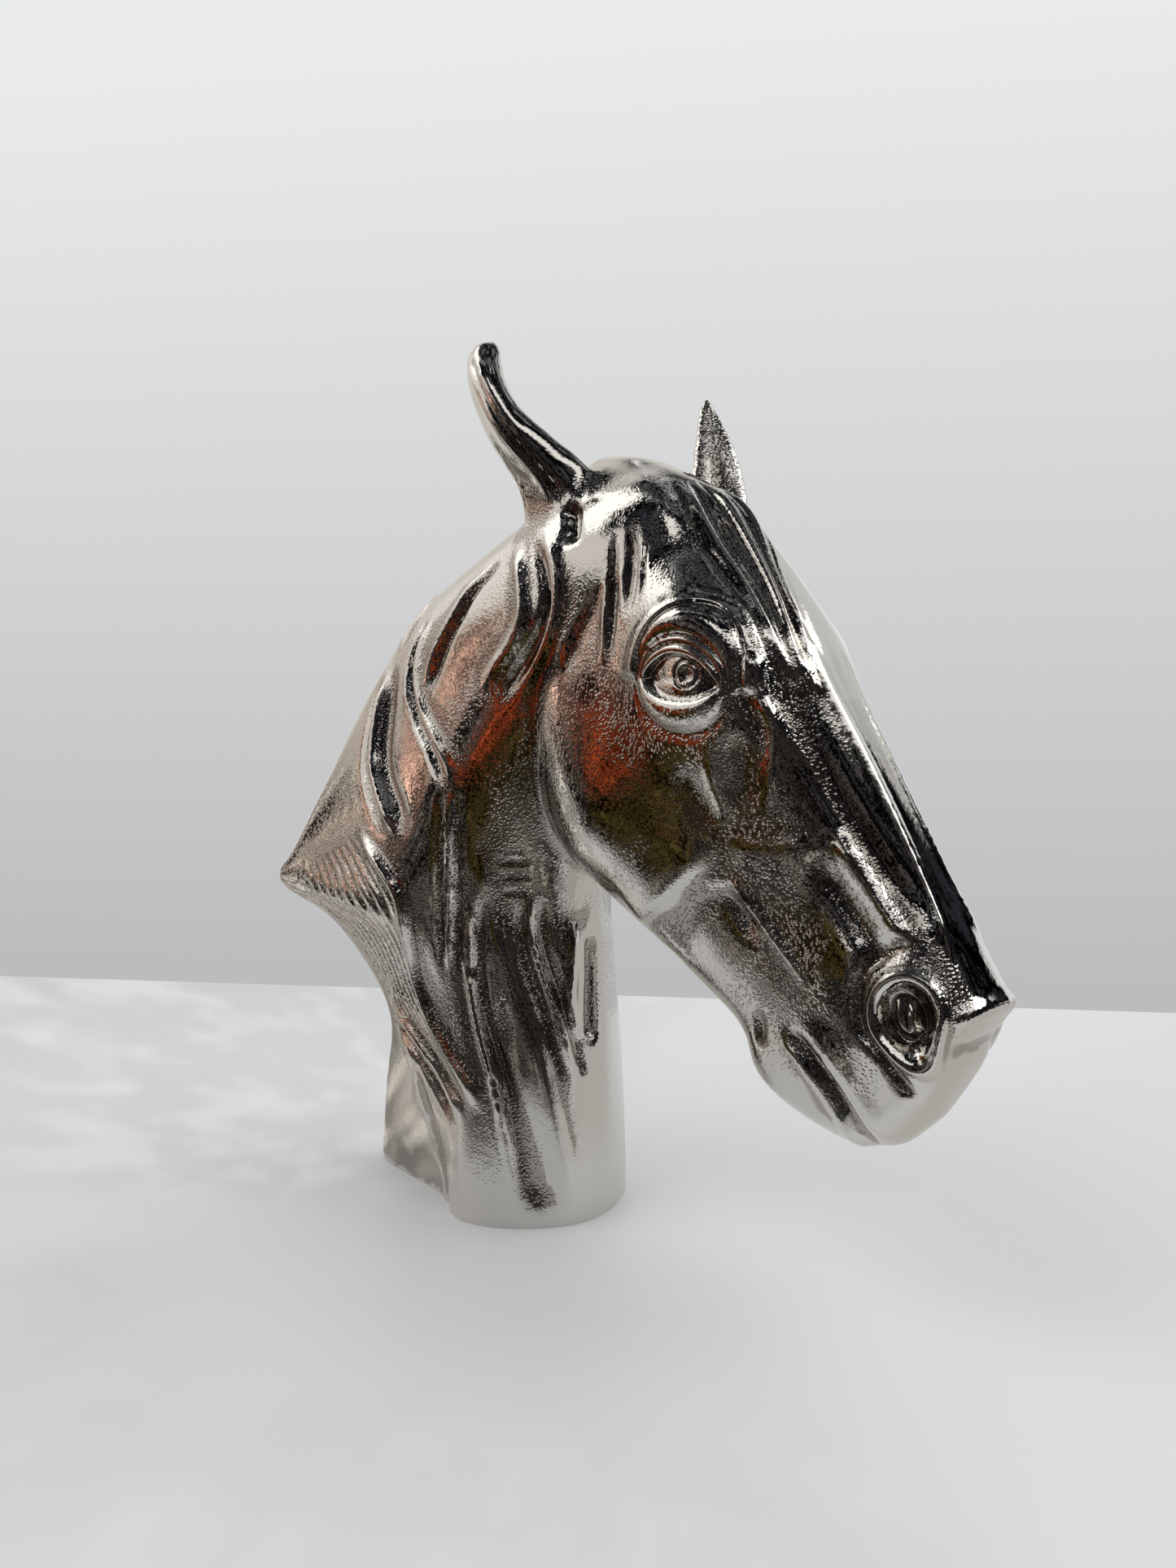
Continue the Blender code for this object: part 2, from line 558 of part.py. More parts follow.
def temple(clay):
    """Strands and creases from the crown down past the eye, and the ridges behind it."""
    ridge = (
        (-0.005, -0.160, 0.115), (0.056, -0.165, 0.146), (0.102, -0.185, 0.153), (0.144, -0.211, 0.153),
        (0.186, -0.237, 0.156), (0.229, -0.263, 0.159), (0.262, -0.292, 0.157),
    )
    carve_head(clay, ridge, 0.008, 0.006, ends=(0.15, 0.3))
    carve_head(clay, shifted(ridge, (0.0, 0.015, 0.0)), -0.010, 0.006, ends=(0.1, 0.3))
    strip = ((0.040, -0.134, 0.135), (0.091, -0.154, 0.148), (0.137, -0.176, 0.154), (0.180, -0.202, 0.159))
    carve_head(clay, strip, 0.006, 0.008, ends=(0.2, 0.3))
    crease = (
        (0.048, -0.113, 0.124), (0.090, -0.136, 0.140), (0.135, -0.158, 0.148), (0.180, -0.182, 0.156),
        (0.214, -0.206, 0.161),
    )
    carve_head(clay, crease, -0.008, 0.006, ends=(0.2, 0.3))
    carve_head(clay, shifted(crease[:4], (0.005, 0.018, 0.0)), 0.006, 0.007, ends=(0.2, 0.3))
    behind = ((0.105, -0.235, 0.162), (0.129, -0.251, 0.161), (0.160, -0.303, 0.161), (0.205, -0.370, 0.158))
    carve_head(clay, behind, 0.010, 0.009, ends=(0.15, 0.35))
    carve_head(clay, shifted(behind, (0.018, 0.012, 0.0)), -0.007, 0.010, ends=(0.15, 0.35))
    over_brow = (
        (0.225, -0.085, 0.150), (0.241, -0.060, 0.137), (0.265, -0.043, 0.124), (0.298, -0.034, 0.121),
    )
    carve_head(clay, over_brow, -0.006, 0.014, ends=(0.3, 0.3))
    wrinkle = ((0.320, -0.047, 0.143), (0.358, -0.050, 0.139), (0.387, -0.051, 0.138))
    carve_head(clay, wrinkle, -0.004, 0.004, ends=(0.3, 0.3))
    carve_head(clay, shifted(wrinkle, (-0.004, 0.014, -0.004)), -0.003, 0.004, ends=(0.3, 0.3))


def mane(clay):
    """Locks that fall from the crest, the band of fine strands and the lock that ends on the stand."""
    everywhere = np.ones(len(clay.co))
    ear_lock = (
        (31, -42, 256), (35, -50, 239), (36, -51, 229), (31, -48, 218), (22, -47, 208), (16, -46, 199),
    )
    ear_crease = (
        (40, -47, 256), (44, -56, 243), (46, -56, 232), (41, -53, 219), (31, -50, 206), (24, -48, 196),
    )
    outer_lock = (
        (43, -47, 260), (50, -55, 246), (51, -55, 232), (46, -53, 219), (39, -50, 209), (30, -48, 196),
    )
    carve_neck(clay, ear_lock, 3.0, 2.4, ends=(0.2, 0.25), share=everywhere)
    carve_neck(clay, ear_crease, -3.4, 1.9, ends=(0.2, 0.25), share=everywhere)
    carve_neck(clay, outer_lock, 2.4, 2.6, ends=(0.2, 0.3), share=everywhere)
    parting = (
        (24, -40, 250), (10, -37, 240), (3, -37, 230), (-3, -36, 220), (-7, -35, 210), (-11, -35, 200),
    )
    carve_neck(clay, parting, -2.8, 1.8, ends=(0.25, 0.2))
    carve_neck(clay, shifted(parting, (-5, 0, 0)), 2.2, 2.4, ends=(0.25, 0.3))
    long_crease = (
        (-16, -24, 232), (-22, -27, 214), (-21, -30, 202), (-16, -34, 191), (-9, -39, 182), (-2, -42, 172),
        (1, -43, 162),
    )
    carve_neck(clay, long_crease, -2.8, 1.8, ends=(0.2, 0.2))
    carve_neck(clay, shifted(long_crease, (4.5, 0, 2)), 2.4, 2.0, ends=(0.2, 0.3))
    carve_neck(clay, shifted(long_crease[:4], (-4, 0, 0)), 1.6, 2.2, ends=(0.2, 0.3))
    crest_lock = ((-18, -10, 246), (-26, -13, 237), (-33, -14, 226), (-38, -15, 214))
    carve_neck(clay, crest_lock, 2.2, 1.8, ends=(0.3, 0.3))
    carve_neck(clay, shifted(crest_lock, (-4, 0, 0)), -1.6, 2.0, ends=(0.3, 0.3))
    side_lock = (
        (-37, -14, 217), (-40, -17, 208), (-42, -22, 190), (-40, -26, 173), (-32, -33, 159), (-22, -38, 146),
    )
    carve_neck(clay, side_lock, 3.8, 2.8, ends=(0.3, 0.15))
    carve_neck(clay, shifted(side_lock, (-7, 3, -1)), -2.6, 2.8, ends=(0.3, 0.2))
    carve_neck(clay, shifted(side_lock, (8, 0, 0)), -2.6, 4.0, ends=(0.3, 0.2))
    band_top = np.array((
        (-48, -24, 148), (-33, -36, 136), (-22, -40, 124), (-20, -37, 106), (-19, -32, 90), (-12, -31, 75),
        (-2, -35, 62), (7, -39, 52), (14, -42, 42),
    ))
    band_foot = np.array((
        (-90, -3, 125), (-78, -7, 109), (-66, -9, 97), (-54, -9, 85), (-42, -10, 72), (-26, -22, 62),
        (-13, -27, 52), (-4, -32, 43), (5, -37, 36),
    ))
    carve_neck(clay, band_top, 3.4, 2.2, 3.4, ends=(0.15, 0.1))
    for k in range(STRANDS):
        share = (k + 0.7) / (STRANDS + 0.4)
        strand = band_top + (band_foot - band_top) * share
        carve_neck(clay, strand, -STRAND_CUT, STRAND_SPAN / 2, ends=(0.1, 0.1))
    carve_neck(clay, shifted(band_foot[4:], (2, -1, 3)), 2.4, 2.6, ends=(0.2, 0.15))
    carve_neck(clay, shifted(band_foot[4:], (0, 0, -4)), -3.0, 2.6, ends=(0.2, 0.25))


def neck_muscles(clay):
    """Long muscles, folds of the throat and the windpipe, down to the stand."""
    cord = ((2, -43, 166), (1, -41, 151), (0, -39, 135), (-1, -37, 114), (-1, -37, 92))
    carve_neck(clay, cord, 1.6, 1.5, ends=(0.1, 0.2))
    for step in (-3.6, 3.6):
        carve_neck(clay, shifted(cord, (step, 0, 0)), -2.0, 1.6, ends=(0.1, 0.2))
    muscle = ((12, -38, 143), (14, -38, 125), (18, -37, 108), (23, -36, 92), (27, -36, 79), (31, -36, 66))
    carve_neck(clay, muscle, 1.8, 3.6, ends=(0.2, 0.3))
    long_fold = (
        (11, -38, 130), (8, -38, 115), (7, -37, 96), (9, -37, 83), (13, -38, 69), (19, -41, 53),
        (23, -42, 38), (26, -42, 22), (28, -42, 8),
    )
    carve_neck(clay, long_fold, 2.8, 1.5, ends=(0.15, 0.3))
    carve_neck(clay, shifted(long_fold, (4.2, 0, 0)), -2.4, 2.0, ends=(0.15, 0.2))
    broad_hollow = ((18, -38, 90), (22, -39, 66), (28, -40, 46), (33, -40, 28), (37, -38, 4))
    carve_neck(clay, broad_hollow, -2.6, 4.2, ends=(0.2, 0.15))
    shin = ((28, -33, 89), (34, -34, 67), (41, -34, 40), (46, -32, 12), (47, -31, -6))
    carve_neck(clay, shin, 2.4, 3.2, 5.0, ends=(0.25, 0.35))
    throat_fold = (
        (30, -33, 126), (31, -33, 109), (34, -32, 97), (38, -31, 86), (42, -31, 76), (45, -30, 65),
        (48, -28, 54),
    )
    carve_neck(clay, throat_fold, 2.8, 1.6, ends=(0.15, 0.2))
    carve_neck(clay, shifted(throat_fold[:5], (-4, 0, -2)), -2.4, 1.9, ends=(0.2, 0.2))
    carve_neck(clay, shifted(throat_fold, (4, 2, 1)), -2.2, 1.8, ends=(0.15, 0.1))
    windpipe = ((45, -23, 116), (45, -25, 98), (44, -26, 83), (47, -26, 68))
    carve_neck(clay, windpipe, 2.4, 1.5, ends=(0.15, 0.15))
    throat_hollow = ((48, -15, 110), (49, -16, 94), (49, -18, 80), (50, -20, 66))
    carve_neck(clay, throat_hollow, -3.4, 3.0, ends=(0.15, 0.15))
    for up in (137, 131, 125):
        carve_neck(clay, ((18, -37, up), (25, -36, up + 1), (32, -34, up)), -0.9, 1.1, ends=(0.3, 0.3))
    stand_crease = ((-26, -18, 62), (-21, -22, 40), (-14, -25, 22), (-6, -30, 0), (-2, -32, -14))
    carve_neck(clay, stand_crease, -1.8, 3.0, ends=(0.3, 0.01))


def near_ear_slit(clay):
    """Narrow opening beside the rim of the near ear, down to the pocket under its root."""
    at_ear = smoothstep(1.5 * DRAWN, 4 * DRAWN, np.minimum(clay.to_head, clay.to_neck))
    slit = (
        (15, -47, 323), (19, -54, 315), (22, -56, 308), (26, -57, 301), (30, -57, 295), (35, -56, 288),
        (39, -55, 283), (43, -53, 278), (48, -51, 272), (53, -51, 266),
    )
    clay.stroke(np.array(slit) * DRAWN, -2.2 * DRAWN, 1.5 * DRAWN, 1.5 * DRAWN, (0.1, 0.05), at_ear)
    pocket = ((54, -50, 268), (55, -53, 263), (56, -55, 257), (56, -56, 251))
    everywhere = np.ones(len(clay.co))
    clay.stroke(np.array(pocket) * DRAWN, -5.0 * DRAWN, 2.8 * DRAWN, 2.8 * DRAWN, (0.25, 0.25), everywhere)


def side_plane(clay, centre, degrees):
    """Coordinates along and up from a place on the sides of the head, the same on both sides."""
    turn = math.radians(degrees)
    flat = clay.abc[:, :2] - centre
    along = flat @ (math.cos(turn), math.sin(turn))
    up = flat @ (-math.sin(turn), math.cos(turn))
    return along, up


def outside_ellipse(u, v, half_length, half_height):
    """Distance outside an ellipse around the origin, negative inside it."""
    level = np.hypot(u / half_length, v / half_height) + 1e-6
    return (level - 1) * np.hypot(u, v) / level


def soft_roll(past_inner, before_outer, fullness, lean=1.0):
    """Height of a rounded roll that fills the band between an inner and an outer curve."""
    width = np.maximum(past_inner + before_outer, 1e-4)
    share = np.clip(past_inner / width, 0.0, 1.0) ** lean
    return fullness * width * np.sin(math.pi * share) ** 0.8


def eye(clay, soft):
    """Brow, lids, ball, ringed iris and drilled pupil; soft is the narrowest step of the mesh."""
    u, v = side_plane(clay, EYE_PLACE, EYE_SLOPE)
    half = EYE_SHARE / 2
    past_end = np.abs(u) - half
    lens = 1 - np.clip(np.abs(u) / half, 0.0, 1.0) ** 2.4
    past_rim = 0.9 * (v - 0.62 * half * lens)
    past_line = outside_ellipse(u, v, 1.02 * half, 0.86 * half)
    past_fold = outside_ellipse(u, v, 1.14 * half, 1.05 * half)
    past_arch = outside_ellipse(u - 0.006, v - 0.005, 1.32 * half, 1.66 * half)
    past_shelf = 0.9 * (-0.36 * half * lens - v)
    past_bag = outside_ellipse(u, v, 1.22 * half, 1.05 * half)
    fade = smoothstep(0.30 * half, -0.15 * half, past_end)
    # brow ridge, crisp on its lower side, then the full lid and the two thin rolls at the ball
    brow = 0.011 * bump(past_arch, np.where(past_arch > 0, 0.022, np.maximum(0.004, soft)))
    upper = brow * smoothstep(-0.035, 0.02, v) + soft_roll(past_fold, -past_arch, 0.30)
    upper += fade * (soft_roll(past_line, -past_fold, 0.42) + soft_roll(past_rim, -past_line, 0.34))
    upper -= 0.006 * smoothstep(soft, -soft, past_fold) * smoothstep(0.1 * half, -0.5 * half, past_end)
    # lower lid with its rounded face, and the groove under it
    lower = fade * soft_roll(past_shelf, -past_bag, 0.24, lean=0.7)
    lower -= fade * 0.005 * bump(past_bag, 0.012) * smoothstep(0.0, -0.02, v)
    share = smoothstep(-0.010, 0.010, v)
    lift = upper * share + lower * (1 - share)
    # ball, set back behind the lids, with a narrow bright slope along the lower one
    opening = np.minimum(smoothstep(soft, -soft, past_rim), smoothstep(0.002, -0.012, past_shelf))
    opening = np.minimum(opening, smoothstep(0.0, -3 * soft, past_end))
    ball = 0.011 * (1 - (np.hypot(u, v - 0.012) / half) ** 2) - 0.014
    iris = np.hypot(u - 0.014, v - 0.015)
    ball -= 0.0035 * bump(iris - IRIS_SHARE, np.maximum(0.0025, 0.7 * soft))
    ball -= 0.007 * np.exp(-((iris / (0.45 * IRIS_SHARE)) ** 4))
    window = smoothstep(2.9 * half, 2.2 * half, np.hypot(u, v - 0.04))
    on_side = smoothstep(0.05, 0.09, np.abs(clay.abc[:, 2])) * clay.head
    clay.lift += (lift + opening * ball) * window * on_side * HEAD_LENGTH


def nostril(clay):
    """Teardrop opening with a raised rim, a lobe inside and the groove that rings the wing."""
    u, v = side_plane(clay, NOSTRIL_PLACE, NOSTRIL_SLOPE)
    narrow = 1.0 - 0.30 * smoothstep(0.0, 0.06, u)
    ring = np.hypot(u / np.where(u > 0, 0.054, 0.045), v / (0.037 * narrow))
    lift = 0.012 * bump(ring - 1.24, 0.22) - 0.034 * np.exp(-((ring / 0.92) ** 8))
    lift += 0.024 * np.exp(-(np.hypot((u + 0.004) / 0.034, (v + 0.006) / 0.020) ** 4))
    lift -= 0.006 * bump(v + 0.002 + 0.15 * u, 0.006) * np.exp(-(((u + 0.004) / 0.020) ** 4))
    lift -= 0.012 * bump(ring - 2.05, 0.28) * smoothstep(0.015, -0.02, v + 0.25 * u)
    on_side = smoothstep(0.02, 0.05, np.abs(clay.abc[:, 2])) * clay.head
    clay.lift += lift * on_side * HEAD_LENGTH


def around(place, radius):
    """Test for the points on the sides of the head around a place."""
    def inside(clay):
        near = np.hypot(*(clay.abc[:, :2] - place).T) < radius
        return near & (np.abs(clay.abc[:, 2]) > 0.03) & (clay.head > 0.5)
    return inside


def carve(ob, head_tree, neck_tree):
    clay = Clay(ob, head_tree, neck_tree)
    where_they_meet = bump(np.maximum(clay.to_head, clay.to_neck), 6 * DRAWN)
    clay.relax(where_they_meet, 20)
    ears = smoothstep(4 * DRAWN, 8 * DRAWN, np.minimum(clay.to_head, clay.to_neck))
    clay.relax(0.8 * ears, 2)
    cheek_crease(clay)
    clay.press(3)
    for form in (nose, cheek, mouth, forelock, temple, mane, neck_muscles, near_ear_slit):
        form(clay)
    clay.press(1)
    clay.refine(around(EYE_PLACE, 0.135), 2)
    clay.refine(around(NOSTRIL_PLACE, 0.105), 1)
    eye(clay, soft=0.006)
    nostril(clay)
    clay.press(1)


def thin(ob, triangles):
    """Leave about this many triangles, with the most where the form bends most."""
    bm = bmesh.new()
    bm.from_mesh(ob.data)
    bmesh.ops.triangulate(bm, faces=bm.faces)
    bm.to_mesh(ob.data)
    bm.free()
    decimate = ob.modifiers.new("thin", "DECIMATE")
    decimate.ratio = triangles / len(ob.data.polygons)
    take_modifiers(ob)


def cut_underside(ob):
    """Cut the stand off flat and close the cut."""
    bm = bmesh.new()
    bm.from_mesh(ob.data)
    everything = bm.verts[:] + bm.edges[:] + bm.faces[:]
    cut = bmesh.ops.bisect_plane(
        bm, geom=everything, dist=1e-6, plane_co=(0, 0, 0), plane_no=(0, 0, 1), clear_inner=True
    )
    rim = [piece for piece in cut["geom_cut"] if isinstance(piece, bmesh.types.BMEdge)]
    bmesh.ops.holes_fill(bm, edges=rim, sides=0)
    bmesh.ops.recalc_face_normals(bm, faces=bm.faces)
    bm.to_mesh(ob.data)
    bm.free()


def nickel():
    material = bpy.data.materials.new("nickel_skin")
    material.use_nodes = True
    shader = material.node_tree.nodes["Principled BSDF"]
    shader.inputs["Base Color"].default_value = (*NICKEL, 1.0)
    shader.inputs["Metallic"].default_value = 1.0
    shader.inputs["Roughness"].default_value = NICKEL_ROUGHNESS
    return material


def main():
    for ob in list(bpy.data.objects):
        bpy.data.objects.remove(ob)
    head, neck = head_volume(), neck_volume()
    head_tree, neck_tree = surface_tree(head), surface_tree(neck)
    near_ear = ear_volume("near_ear", NEAR_EAR, NEAR_OUTLINE)
    far_ear = ear_volume("far_ear", FAR_EAR, FAR_OUTLINE)
    casting = join_objects((head, neck, near_ear, far_ear), "horse_head_casting")
    fuse(casting, CARVING_STEP)
    carve(casting, head_tree, neck_tree)
    thin(casting, SOLID_TRIANGLES)
    cut_underside(casting)
    casting.data.materials.append(nickel())


main()
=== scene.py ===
"""A polished metal horse head on its own stand, dressed for a picture.

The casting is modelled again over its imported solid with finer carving, given its nickel skin,
and set on a pale table in a plain studio. Lengths are metres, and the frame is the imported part's.
"""
import math
import bpy
import bmesh
import numpy as np
from mathutils import Matrix, Vector
from mathutils.bvhtree import BVHTree


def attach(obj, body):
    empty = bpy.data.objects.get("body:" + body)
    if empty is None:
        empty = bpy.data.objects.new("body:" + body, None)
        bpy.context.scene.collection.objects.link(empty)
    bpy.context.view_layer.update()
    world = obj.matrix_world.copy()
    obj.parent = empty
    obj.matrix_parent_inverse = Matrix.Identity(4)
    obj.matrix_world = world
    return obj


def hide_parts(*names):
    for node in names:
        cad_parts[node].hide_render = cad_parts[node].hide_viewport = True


bl_info = {
    "name": "Horse Head Casting",
    "version": (1, 0, 0),
    "blender": (4, 5, 0),
    "location": "View3D > Sidebar > Horse Head",
    "description": "Models a polished metal horse head on its stand and sets it on a studio table",
    "category": "Object",
}

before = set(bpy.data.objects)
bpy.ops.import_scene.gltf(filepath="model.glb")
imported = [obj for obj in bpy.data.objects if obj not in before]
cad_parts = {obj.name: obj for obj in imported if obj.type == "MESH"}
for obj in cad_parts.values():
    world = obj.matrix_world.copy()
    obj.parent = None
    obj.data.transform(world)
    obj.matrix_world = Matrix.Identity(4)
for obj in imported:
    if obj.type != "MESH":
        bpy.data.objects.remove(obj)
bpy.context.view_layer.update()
SOLID_NODE = "horse_head_casting"

# The figure is drawn at a scale where the head is 222 long: x forward, y to the far side and z up
HEAD_LENGTH = 0.2218
DRAWN = HEAD_LENGTH / 222
# The head has coordinates of its own (a, b, c), in head lengths from the crown: down the face, out of
# it and to the near side. Its turn, drop and roll are degrees
CROWN = (108, -39, 287)
HEAD_TURN = 24.0
HEAD_DROP = 60.6
HEAD_ROLL = 1.65
STAND_LENGTH = 0.116
STAND_WIDTH = 0.0915
STAND_HEIGHT = 0.058

# Eye and nostril on the sides of the head (a, b), the slope of each, the eye from corner to corner,
# half the iris and its place in the eye, all in head lengths but the slopes, which are degrees
EYE_PLACE = (0.350, -0.1565)
EYE_SLOPE = 53.0
EYE_SHARE = 0.137
IRIS_SHARE = 0.021
IRIS_PLACE = (0.014, 0.015)
NOSTRIL_PLACE = (0.900, -0.084)
NOSTRIL_SLOPE = -14.0

# Fine strands in the mane: how many, how deep and how wide, in drawn units
STRANDS = 11
STRAND_CUT = 1.0
STRAND_SPAN = 1.7

RELAX_SHARE = 0.6
STROKE_SAMPLES = 24
STROKE_MARGIN = 12 * DRAWN
STROKE_REACH = 20 * DRAWN
DEPTH_WEIGHT = 0.3

# Most triangles of the finished skin, how exact the cut of the stand is and up to which angle,
# in degrees, two faces are shaded as one
SKIN_TRIANGLES = 192000
CUT_PRECISION = 1e-6
SHARPEST_SMOOTH = 50

# Finest step of the mesh at the eye, and how far around the eye and the nostril it is made finer, in
# head lengths. The near eye is made finer twice
EYE_STEP = 0.0024
EYE_REACH = 0.125
NEAR_EYE_REACH = 0.095
NOSTRIL_REACH = 0.100

# Boxes of head coordinates (a, b, c), each from its low corner to its high one: the forelock and the
# temple, where the fine hair is cut, and the bridge, the forehead and the muzzle, which are polished
ANYWHERE = math.inf
HAIR_BOXES = (
    ((0.02, -0.13, -0.03), (0.46, ANYWHERE, 0.125)),
    ((-0.02, -0.31, 0.08), (0.28, -0.09, ANYWHERE)),
)
POLISHED_BOXES = (
    ((-ANYWHERE, -0.07, -0.10), (0.96, ANYWHERE, 0.10)),
    ((-ANYWHERE, -0.25, -0.04), (0.48, ANYWHERE, ANYWHERE)),
    ((0.82, -0.17, 0.0), (ANYWHERE, ANYWHERE, ANYWHERE)),
)

# Rows along each lofted volume and points around it
HEAD_GRID = (70, 56)
NECK_GRID = (80, 56)
EAR_GRID = (30, 40)

# Sections of the head from the back of the skull to the lips. Each holds the profile point on the
# face line (a, b), the one on the jaw line (a, b), then half widths at HEAD_DEPTHS between the two
HEAD_DEPTHS = (0.03, 0.20, 0.50, 0.80, 0.97)
HEAD_SECTIONS = (
    # inside the neck
    (-0.130, -0.210, -0.060, -0.360, 0.030, 0.050, 0.060, 0.050, 0.030),
    (-0.080, -0.145, -0.030, -0.430, 0.045, 0.085, 0.110, 0.100, 0.050),
    # crown, between the ears
    (0.000, -0.084, 0.040, -0.480, 0.050, 0.115, 0.140, 0.135, 0.070),
    (0.080, -0.038, 0.100, -0.505, 0.048, 0.128, 0.150, 0.148, 0.085),
    # forehead
    (0.170, -0.014, 0.180, -0.528, 0.046, 0.142, 0.155, 0.153, 0.095),
    (0.260, 0.000, 0.265, -0.548, 0.055, 0.165, 0.157, 0.150, 0.100),
    # eyes and round cheeks
    (0.350, 0.005, 0.360, -0.560, 0.072, 0.176, 0.152, 0.148, 0.100),
    (0.440, 0.000, 0.450, -0.556, 0.062, 0.142, 0.140, 0.142, 0.095),
    # straight nose and narrow jaw
    (0.540, 0.000, 0.545, -0.515, 0.055, 0.110, 0.115, 0.115, 0.075),
    (0.640, 0.000, 0.640, -0.474, 0.051, 0.090, 0.093, 0.086, 0.052),
    (0.740, 0.000, 0.730, -0.432, 0.050, 0.080, 0.084, 0.072, 0.042),
    # nostrils and chin
    (0.830, 0.000, 0.820, -0.393, 0.056, 0.092, 0.090, 0.070, 0.042),
    (0.900, 0.000, 0.890, -0.396, 0.062, 0.100, 0.092, 0.074, 0.047),
    (0.934, -0.002, 0.957, -0.360, 0.058, 0.098, 0.088, 0.066, 0.042),
    # lips
    (0.953, -0.032, 1.010, -0.312, 0.048, 0.083, 0.078, 0.058, 0.036),
    (0.992, -0.080, 1.040, -0.270, 0.038, 0.060, 0.060, 0.045, 0.028),
    (1.035, -0.150, 1.053, -0.220, 0.015, 0.020, 0.022, 0.020, 0.012),
)

# Sections of the neck upward from the stand, in drawn units. Each holds its front point and its
# back point (forward, up), how far the front leans to the near side and the back to the far side,
# then half widths at NECK_DEPTHS
NECK_DEPTHS = (0.05, 0.25, 0.45, 0.60, 0.80, 0.95)
NECK_SECTIONS = (
    # throat above the stand
    (52, 88, -60, 82, 3, 7, 21, 34, 38, 34, 22, 8),
    # the mane runs out to a point over the stand
    (51.5, 104, -80, 106, 3, 4, 21, 34, 38, 33, 18, 6),
    (51, 115, -106, 122, 3, 2, 21, 34, 38, 33, 16, 4),
    (51, 125, -97, 135, 3, 1, 22, 35, 39, 33, 17, 5),
    # arched crest
    (53, 142, -78, 166, 4, 0, 22, 36, 40, 34, 20, 7),
    (60, 165, -57, 201, 8, 0, 24, 37, 40, 34, 22, 9),
    (70, 185, -31, 232, 14, -5, 26, 37, 38, 34, 24, 10),
    (85, 205, 6, 256, 22, -15, 26, 36, 37, 34, 25, 12),
    # inside the head
    (100, 225, 45, 273, 30, -27, 24, 32, 34, 32, 26, 14),
    (112, 240, 80, 281, 36, -36, 18, 24, 26, 25, 20, 10),
)

# The stand as shares of its height and of its half length and half width: height, front, back, lean
# of the front and of the back, half widths at NECK_DEPTHS. It is drawn on below the cut at height zero
STAND_SECTIONS = (
    (-0.35, 0.97, -1.03, 0.09, 0.31, 0.52, 0.94, 1.00, 0.62, 0.37, 0.17),
    (0.00, 0.97, -1.03, 0.09, 0.31, 0.52, 0.94, 1.00, 0.62, 0.37, 0.17),
    (0.60, 0.95, -0.96, 0.09, 0.26, 0.52, 0.88, 0.95, 0.72, 0.48, 0.20),
    (1.10, 0.93, -0.90, 0.09, 0.22, 0.48, 0.80, 0.88, 0.79, 0.57, 0.22),
)

# Heights on the neck, and how far its middle lies to the far side at each, in drawn units
NECK_BEND = ((0, 100, 165, 200, 235, 255, 275), (4, 0, -3, -4, -8, -17, -30))

# Ears, from root to tip in the head's frame: near edge, far edge and back of the cup
NEAR_EAR = (
    ((0.040, -0.235, 0.110), (-0.010, -0.330, 0.110), (0.020, -0.190, 0.060)),
    ((-0.010, -0.240, 0.135), (-0.055, -0.332, 0.132), (-0.045, -0.200, 0.080)),
    ((-0.071, -0.236, 0.163), (-0.108, -0.311, 0.141), (-0.093, -0.201, 0.103)),
    ((-0.111, -0.241, 0.185), (-0.147, -0.306, 0.157), (-0.133, -0.211, 0.128)),
    ((-0.150, -0.244, 0.207), (-0.189, -0.304, 0.174), (-0.172, -0.218, 0.152)),
    ((-0.193, -0.244, 0.221), (-0.233, -0.298, 0.184), (-0.205, -0.225, 0.167)),
    ((-0.235, -0.239, 0.229), (-0.275, -0.290, 0.192), (-0.239, -0.224, 0.175)),
    ((-0.271, -0.234, 0.230), (-0.315, -0.280, 0.190), (-0.275, -0.219, 0.176)),
    ((-0.301, -0.230, 0.223), (-0.338, -0.267, 0.189), (-0.305, -0.210, 0.168)),
    ((-0.326, -0.220, 0.206), (-0.343, -0.240, 0.191), (-0.327, -0.207, 0.175)),
)
FAR_EAR = (
    ((0.030, -0.210, -0.060), (0.080, -0.170, -0.115), (0.030, -0.240, -0.110)),
    ((0.000, -0.195, -0.095), (0.050, -0.145, -0.150), (-0.010, -0.205, -0.150)),
    ((-0.041, -0.178, -0.120), (0.013, -0.121, -0.185), (-0.045, -0.170, -0.185)),
    ((-0.086, -0.160, -0.138), (-0.042, -0.109, -0.195), (-0.082, -0.151, -0.201)),
    ((-0.135, -0.140, -0.152), (-0.104, -0.097, -0.195), (-0.138, -0.133, -0.203)),
    ((-0.176, -0.121, -0.164), (-0.152, -0.093, -0.195), (-0.180, -0.118, -0.203)),
    ((-0.202, -0.106, -0.172), (-0.189, -0.092, -0.190), (-0.208, -0.110, -0.199)),
    ((-0.212, -0.096, -0.176), (-0.207, -0.089, -0.186), (-0.222, -0.103, -0.200)),
)
# Locks of the forelock that meet in a point over the nose, and a strand of the temple, in head
# coordinates (a, b, c), then how far the fine creases lie beside that strand
FORELOCK = (
    ((0.022, -0.081, 0.044), (0.099, -0.056, 0.074), (0.175, -0.046, 0.083), (0.248, -0.028, 0.089),
     (0.308, -0.017, 0.097), (0.374, -0.021, 0.098), (0.436, -0.036, 0.078)),
    ((0.020, -0.068, 0.010), (0.094, -0.032, 0.027), (0.188, -0.017, 0.041), (0.274, -0.010, 0.057),
     (0.346, -0.008, 0.075), (0.407, -0.020, 0.077), (0.436, -0.036, 0.078)),
    ((0.020, -0.075, -0.030), (0.107, -0.026, -0.011), (0.201, -0.006, 0.026), (0.292, 0.004, 0.047),
     (0.362, 0.005, 0.056), (0.400, -0.006, 0.066)),
)
